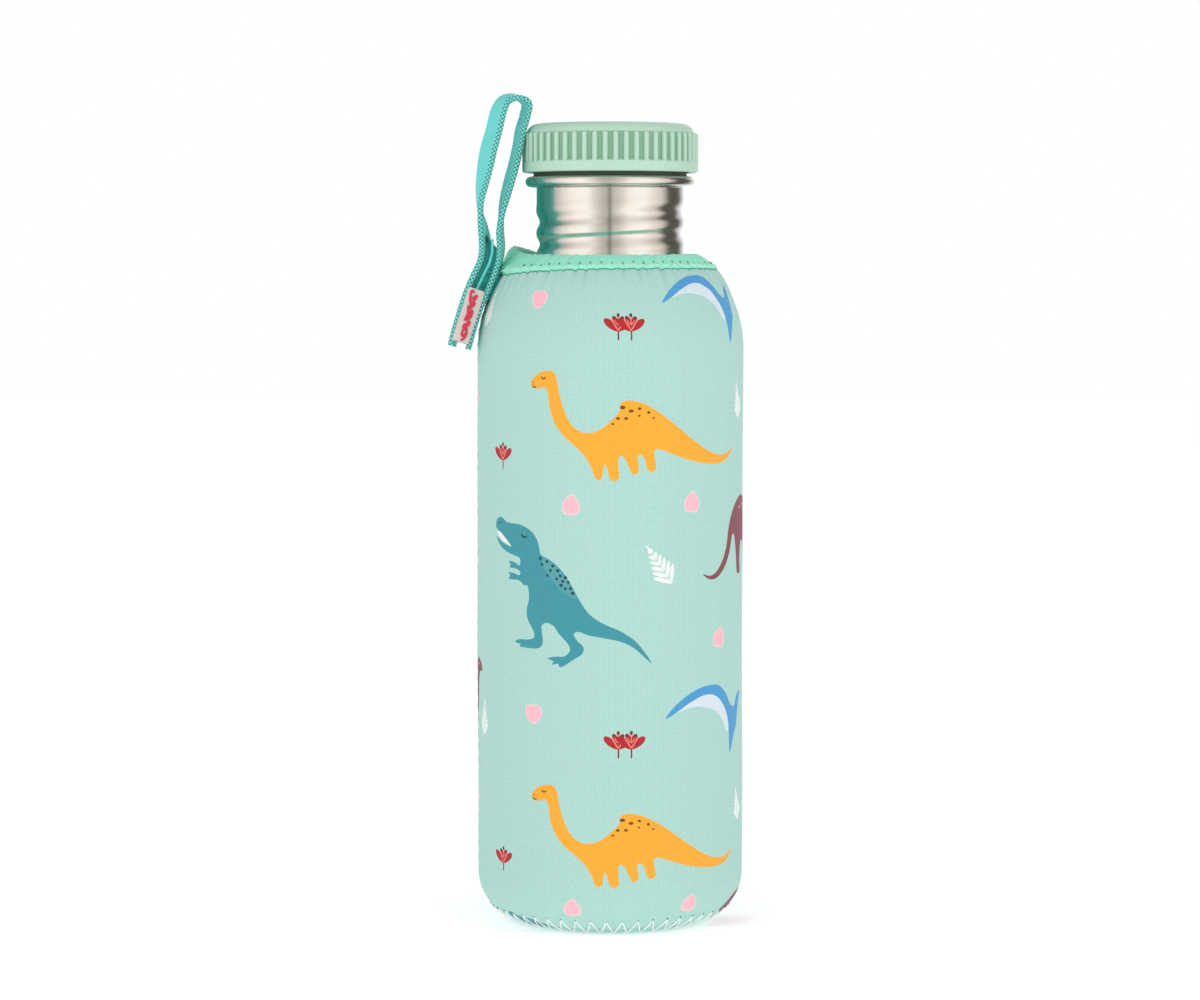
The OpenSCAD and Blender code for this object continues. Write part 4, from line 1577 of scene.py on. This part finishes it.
@dataclass
class CarryLoop:
    """The folded tape loop with its two tails, and the label between them.

    The route's points are distance from the axis, height and twist in degrees. Each leg's two
    rows are heights and distances from the axis.
    """

    azimuth: float = 190.0
    w: float = 8.5
    t: float = 1.6
    bead: float = 0.78
    hinge_u: float = 31.6
    hinge_z: float = 176.0
    bend_below: float = 3.0
    bend_above: float = 5.0
    tack_rows: int = 15
    inner_leg: tuple = ((164, 168, 171.8, 175.5, 179), (34.3, 32.4, 30.8, 29.6, 29.2))
    outer_leg: tuple = (
        (163.4, 167.4, 171.2, 174.5, 177.5, 180.5), (39.3, 37.8, 36.0, 34.3, 33.5, 33.5))
    route: tuple = (
        (38.0, 152, -8), (36.9, 156, -8), (35.7, 160, -8), (34.3, 164, -8), (32.4, 168, -9),
        (30.8, 171.8, -10), (29.6, 175.5, -12), (29.2, 179, -14), (29.4, 183, -13),
        (29.0, 187.5, -6), (28.2, 191.5, 1), (27.0, 196, 4), (25.6, 201, 4), (24.6, 205.5, 4),
        (23.9, 209.5, 4), (22.7, 213.5, 4), (22.4, 216.6, 2), (25.0, 218.1, -5),
        (28.0, 217.4, -11), (29.7, 214.6, -16), (31.0, 209.5, -17), (32.4, 204.5, -18),
        (33.4, 199.5, -15), (34.2, 195, -7), (34.7, 191, 3), (34.6, 187.5, 9), (34.0, 184, 18),
        (33.5, 180.5, 22), (33.5, 177.5, 22), (34.3, 174.5, 19), (36.0, 171.2, 17),
        (37.8, 167.4, 15), (39.3, 163.4, 14), (40.6, 159.2, 14), (41.6, 155.7, 14),
        (42.3, 152.9, 14))

    def __post_init__(self) -> None:
        """Works out the directions away from the axis and round it where the loop stands."""
        a = math.radians(self.azimuth)
        self.out = np.array([math.cos(a), math.sin(a), 0.0])
        self.side = np.array([-math.sin(a), math.cos(a), 0.0])

    def frames(self, step: float) -> tuple[np.ndarray, np.ndarray, np.ndarray, np.ndarray]:
        """The tape's middle line with its directions.

        Args:
            step: spacing along the tape.

        Returns:
            Points, unit width directions, unit thickness directions and distance along, for each.
        """
        hush = 0.001  # keeps the twist out of the distance along the tape
        line = along(spline(np.array(self.route, float), 10, False) * (1, 1, hush), step=step)
        line[:, 2] /= hush
        d = np.gradient(line[:, :2], axis=0)
        d /= np.linalg.norm(d, axis=1, keepdims=True)
        ahead = d[:, :1] * self.out + d[:, 1:] * UP
        tw = np.radians(line[:, 2:3])
        wide = np.cos(tw) * self.side + np.sin(tw) * np.cross(ahead, self.side)
        centre = line[:, :1] * self.out + line[:, 1:2] * UP
        return centre, wide, np.cross(ahead, wide), step * np.arange(len(line))

    def strap(self, palette: Palette) -> bpy.types.Object:
        """The tape: its section is a flat oblong with rounded, beaded edges, carried along the
        route. Each edge swells once every bead's length.

        Args:
            palette: the materials.

        Returns:
            The tape.
        """
        centre, wide, thick, s = self.frames(self.bead / 6)
        beads = 0.5 + 0.5 * np.cos(2 * math.pi * s / self.bead)
        half_w, half_t = self.w / 2, self.t / 2
        edge = arc(half_w - half_t, 0, half_t, -80, 80, 7)
        left = -edge
        across = np.linspace(-1, 1, 9)[1:-1] * (half_w - half_t)
        rim = half_t * 0.78
        section = np.concatenate([
            edge, np.c_[across[::-1], np.full(7, rim)], left, np.c_[across, np.full(7, -rim)]])
        is_edge = (np.abs(section[:, 0]) > half_w - half_t - 1e-6).astype(float)
        grow = 1 + (0.16 * beads[:, None] - 0.1) * is_edge[None]
        x = section[None, :, 0] + np.sign(section[None, :, 0]) * (grow - 1) * half_t * is_edge
        y = section[None, :, 1] * grow
        pts = centre[:, None] + x[..., None] * wide[:, None] + y[..., None] * thick[:, None]
        rows, cols = len(s), len(section)
        faces = np.concatenate([grid_faces(rows, cols, False, True), end_faces(rows, cols)])
        obj = new_object("loop_strap", pts.reshape(-1, 3), faces, [palette.tape, palette.tape_edge])
        both = (is_edge[faces % cols].min(1) > 0).astype(np.int32)
        obj.data.polygons.foreach_set("material_index", both)
        u = np.cumsum(np.r_[0, np.linalg.norm(np.diff(section, axis=0), axis=1)])
        set_uv(obj, np.stack(np.broadcast_arrays(u[None], s[:, None]), -1).reshape(-1, 2))
        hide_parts("carry_loop", "loop_tails")
        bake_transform(obj)
        return obj

    def web(self, palette: Palette) -> bpy.types.Object:
        """The folded end of the tape between the two tails: a thin sail from one tail's middle to
        the other's, which narrows to nothing where the legs part, and the yarn along its edge.

        Args:
            palette: the materials.

        Returns:
            The sail.
        """
        foot, head = 163.5, 182.0
        z = np.linspace(foot, head, 30)
        inner = np.interp(z, *self.inner_leg) + 0.2
        outer = np.interp(z, *self.outer_leg) - 0.2
        inner = inner + 0.97 * (outer - inner) * smoothstep(z, 176.5, head)
        share = np.r_[np.linspace(0, 1, 9), np.linspace(1, 0, 9)[1:-1]]
        front = np.r_[np.ones(9), np.zeros(7)]
        thick = 0.9 * np.sqrt(np.clip(1 - (np.abs(z - 172.75) / 9.25) ** 8, 0, 1))
        u = inner[:, None] + (outer - inner)[:, None] * share
        side = 2.2 - 1.3 * np.sin(share * math.pi)[None] + thick[:, None] * (front[None] - 0.5)
        pts = u[..., None] * self.out + side[..., None] * self.side + z[:, None, None] * UP
        faces = grid_faces(len(z), len(share), False, True)[:, ::-1]
        # The fold's darker teal is painted shade between the tails.
        obj = new_object("loop_fold", pts.reshape(-1, 3), faces, [palette.tape_shade])
        set_uv(obj, np.stack(np.broadcast_arrays(u, z[:, None]), -1).reshape(-1, 2))
        weld(obj)
        run = np.linspace(181.0, 167.2, 40)
        lane = np.interp(run, *self.outer_leg) - 1.5
        deep = 3.3 + 0.15 * np.sin(run * 1.3)
        path = lane[:, None] * self.out + deep[:, None] * self.side + run[:, None] * UP
        yarn = tube("loop_yarn", path, 0.36, 8, False, [palette.tape])
        for piece in (obj, yarn):
            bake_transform(piece)
        return obj

    def tack(self, palette: Palette) -> bpy.types.Object:
        """The bar tack that holds the two tails to the sleeve: rows of thread from the sleeve's
        face out through the tape, each a flat arch, close enough to cover what lies between.

        Args:
            palette: the materials.

        Returns:
            The bar tack.
        """
        rng = np.random.default_rng(SEED)
        paths = []
        for i in range(self.tack_rows):
            z = 165.2 + 0.5 * i
            inner = 28.5 + (172.4 - z) * 0.35
            outer = np.interp(z, *self.outer_leg) - 0.9
            run = np.linspace(0, 1, 8)
            side = 1.3 + 0.3 * np.sin(run * math.pi) + rng.uniform(-0.15, 0.15)
            u = inner + (outer - inner) * run
            path = (u[:, None] * self.out + side[:, None] * self.side
                    + (z + 0.5 * run + rng.uniform(-0.15, 0.15))[:, None] * UP)
            paths.append(path)
        # The tack's darker turquoise is painted shade of the gap between the tails.
        obj = join_tubes("bar_tack", paths, 0.34, 6, [palette.tack])
        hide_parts("loop_bartack")
        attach(obj, "sleeve")
        return obj

    def label(self, palette: Palette) -> bpy.types.Object:
        """The folded label: a strip bent round a flat front, its ends together between the tails,
        with a sewn squiggle for a mark, which is a sum of sines.

        Args:
            palette: the materials.

        Returns:
            The label.
        """
        top_u, top_z, lean, length, width, t = 36.2, 167.8, 18.0, 14.6, 4.6, 0.45
        c, s = math.cos(math.radians(lean)), math.sin(math.radians(lean))
        down = s * self.out - c * UP
        out = c * self.out + s * UP
        origin = top_u * self.out + top_z * UP
        half, front, back = width / 2, self.w / 2 + 0.5, -2.0
        outer = np.concatenate([
            arc(half - 0.5, front - 0.5, 0.5, 0, 90, 5),
            arc(-half + 0.5, front - 0.5, 0.5, 90, 180, 5),
            [[-half, front - 1.2], [-t, front - 3.2], [-t, back],
             [t, back], [t, front - 3.2], [half, front - 1.2]]])
        n = len(outer)
        side = np.array([[11, 12, 13, 14], [10, 11, 14, 15], [15, 0, 9, 10]]
                        + [[k, k + 1, 8 - k, 9 - k] for k in range(4)])
        rows = np.linspace(0, length, 24)
        bow = 0.12 * np.sin(rows / length * math.pi)
        pts = (origin + rows[:, None, None] * down + outer[None, :, :1] * out
               + (outer[None, :, 1:] + bow[:, None, None] * (outer[None, :, 1:] > 3)) * self.side)
        ends = np.concatenate([side[:, ::-1], side + (len(rows) - 1) * n])
        faces = np.concatenate([grid_faces(len(rows), n, False, True), ends])[:, ::-1]
        obj = new_object("label_strip", pts.reshape(-1, 3), faces, [palette.label])
        u = np.cumsum(np.r_[0, np.linalg.norm(np.diff(outer, axis=0), axis=1)])
        set_uv(obj, np.stack(np.broadcast_arrays(u[None], rows[:, None]), -1).reshape(-1, 2))
        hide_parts("loop_label")
        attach(obj, "sleeve")
        run = np.linspace(0, 1, 260)
        turn = run * 2 * math.pi
        line = 1.3 + run * 12
        bow_out = 0.12 * np.sin(line / length * math.pi)
        along_mm = line - 0.75 * np.sin(turn * 12 + 0.6 * np.sin(run * 11))
        across_mm = 0.5 - 0.8 * run + (0.85 - 0.3 * run) * np.sin(turn * 6 + 1.2 * np.sin(run * 7))
        path = (origin + along_mm[:, None] * down + across_mm[:, None] * out
                + (front + 0.1 + bow_out)[:, None] * self.side)
        mark = tube("label_mark", path, 0.33, 6, False, [palette.label_yarn])
        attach(mark, "sleeve")
        return obj

    def build(self, palette: Palette) -> list:
        """Makes the strap, the fold between its tails, its bar tack and the label."""
        return [self.strap(palette), self.web(palette), self.tack(palette), self.label(palette)]


# ---------------------------------------------------------------- the studio


@dataclass
class Studio:
    """A pale floor, a white surround with soft panels beside the bottle, and two soft lamps.

    The surround's colour is a ramp over the direction round the bottle, in degrees from the
    camera's side: dark teal behind on the left, bright panels either side of the front, and dark
    olive behind on the right. Only polished pieces mirror it.
    """

    ring: tuple = (
        (-180, "3B8577"), (-126, "1F7769"), (-108, "4E9588"), (-97, "B0B8B0"), (-78, "E6DFD9"),
        (-62, "FFF6EE"), (-36, "FFFFFA"), (-27, "E8E0D8"), (-17, "C9C4BE"), (-3, "AEADA4"),
        (8, "C6C3BD"), (20, "DDD7D0"), (29, "FFF8F0"), (56, "FFFFFA"), (68, "F2E8E0"),
        (88, "D6CFC9"), (97, "9F9D93"), (104, "48483F"), (134, "55564C"), (150, "CFCFD2"),
        (180, "FFFFFF"))

    def sky(self) -> None:
        """Makes the surround: white to the camera and on matt pieces, the ring on polished ones."""
        world = bpy.data.worlds.new("white studio")
        world.use_nodes = True
        tree = world.node_tree
        shade = tree.nodes["Background"]
        way = node(tree, "ShaderNodeTexCoord")
        part = node(tree, "ShaderNodeSeparateXYZ", i0=way.outputs["Generated"])
        back = node(
            tree, "ShaderNodeMath", {"operation": "MULTIPLY", 1: -1.0}, i0=part.outputs["Y"]
        )
        angle = node(
            tree, "ShaderNodeMath", {"operation": "ARCTAN2"},
            i0=part.outputs["X"], i1=back.outputs[0],
        )
        turn = node(
            tree, "ShaderNodeMapRange", {"From Min": -math.pi, "From Max": math.pi},
            Value=angle.outputs[0],
        )
        ramp = node(tree, "ShaderNodeValToRGB", i0=turn.outputs[0])
        stops = ramp.color_ramp.elements
        stops[0].color, stops[1].color = linear(self.ring[0][1]), linear(self.ring[-1][1])
        for degrees, colour in self.ring[1:-1]:
            stops.new(degrees / 360 + 0.5).color = linear(colour)
        ray = node(tree, "ShaderNodeLightPath")
        white = linear("FFFFFF")
        mixed = node(
            tree, "ShaderNodeMix", {"data_type": "RGBA", 6: white},
            i0=ray.outputs["Is Glossy Ray"], i7=ramp.outputs[0],
        )
        plain = node(
            tree, "ShaderNodeMix", {"data_type": "RGBA", 7: white},
            i0=ray.outputs["Is Camera Ray"], i6=mixed.outputs[2],
        )
        above = node(
            tree, "ShaderNodeMapRange",
            {"From Min": 0.0, "From Max": 0.9, "To Min": 0.97, "To Max": 0.58},
            Value=part.outputs["Z"],
        )
        dim = node(
            tree, "ShaderNodeMix", {"data_type": "FLOAT", 3: 1.0},
            i0=ray.outputs["Is Camera Ray"], i2=above.outputs[0],
        )
        bright = node(
            tree, "ShaderNodeMath", {"operation": "MULTIPLY_ADD", 1: 0.45},
            i0=ray.outputs["Is Glossy Ray"], i2=dim.outputs[0],
        )
        tree.links.new(plain.outputs[2], shade.inputs[0])
        tree.links.new(bright.outputs[0], shade.inputs[1])
        bpy.context.scene.world = world

    def floor(self) -> None:
        """Lays the floor, 8 m square, matt and nearly white."""
        mat = bpy.data.materials.new("matt studio floor")
        mat.use_nodes = True
        bsdf = mat.node_tree.nodes["Principled BSDF"]
        bsdf.inputs["Base Color"].default_value = linear("FCFCFC")
        bsdf.inputs["Roughness"].default_value = 1.0
        bsdf.inputs["Specular IOR Level"].default_value = 0.0
        bsdf.inputs["Emission Color"].default_value = linear("FFFFFF")
        bsdf.inputs["Emission Strength"].default_value = 0.34
        half = 4000
        corners = np.array([(-half, -half, 0), (half, -half, 0), (half, half, 0), (-half, half, 0)])
        obj = new_object("studio_floor", corners, np.array([[0, 1, 2, 3]]), [mat], smooth=False)
        obj.visible_glossy = False

    def lamp(self, name: str, where: tuple, aim: tuple, size: tuple, watts: float) -> None:
        """A rectangular soft lamp.

        Args:
            name: its name.
            where: its middle in metres.
            aim: the point it faces.
            size: width and height in metres.
            watts: its power.
        """
        data = bpy.data.lights.new(name, "AREA")
        data.shape, data.size, data.size_y, data.energy = "RECTANGLE", size[0], size[1], watts
        obj = bpy.data.objects.new(name, data)
        obj.location = where
        obj.rotation_euler = (Vector(aim) - Vector(where)).to_track_quat("-Z", "Y").to_euler()
        obj.visible_glossy = False
        bpy.context.scene.collection.objects.link(obj)

    def build(self) -> None:
        """Sets up the surround, the floor and the lamps."""
        self.sky()
        self.floor()
        self.lamp("key_left", (-0.75, -1.0, 0.75), (0, 0, 0.1), (0.7, 0.9), 2.4)
        self.lamp("key_right", (0.85, -1.0, 0.65), (0, 0, 0.1), (0.7, 0.9), 2.8)
        bpy.context.scene.view_settings.view_transform = "Standard"

    def camera(self) -> None:
        """The camera in front, a little below the mouth's height, tilted slightly down."""
        data = bpy.data.cameras.new("camera")
        data.lens, data.sensor_width = 110.16, 36.0
        data.clip_start, data.clip_end = 0.05, 20.0
        cam = bpy.data.objects.new("camera", data)
        cam.location = (-0.0027, -0.974, 0.17308)
        cam.rotation_euler = (math.radians(90 - 3.6), 0, 0)
        bpy.context.scene.collection.objects.link(cam)
        bpy.context.scene.camera = cam


def main() -> None:
    """Builds the bottle from the inside out, then the studio."""
    logging.basicConfig(level=logging.INFO, format="%(name)s: %(message)s")
    palette = Palette()
    made = SteelBottle().build(palette) + Cap().build(palette)
    made += Sleeve().build(palette, Print()) + CarryLoop().build(palette)
    for obj in made:
        log.info("%s: %d faces", obj.name, len(obj.data.polygons))
    studio = Studio()
    studio.build()
    studio.camera()


if __name__ == "__main__":
    main()
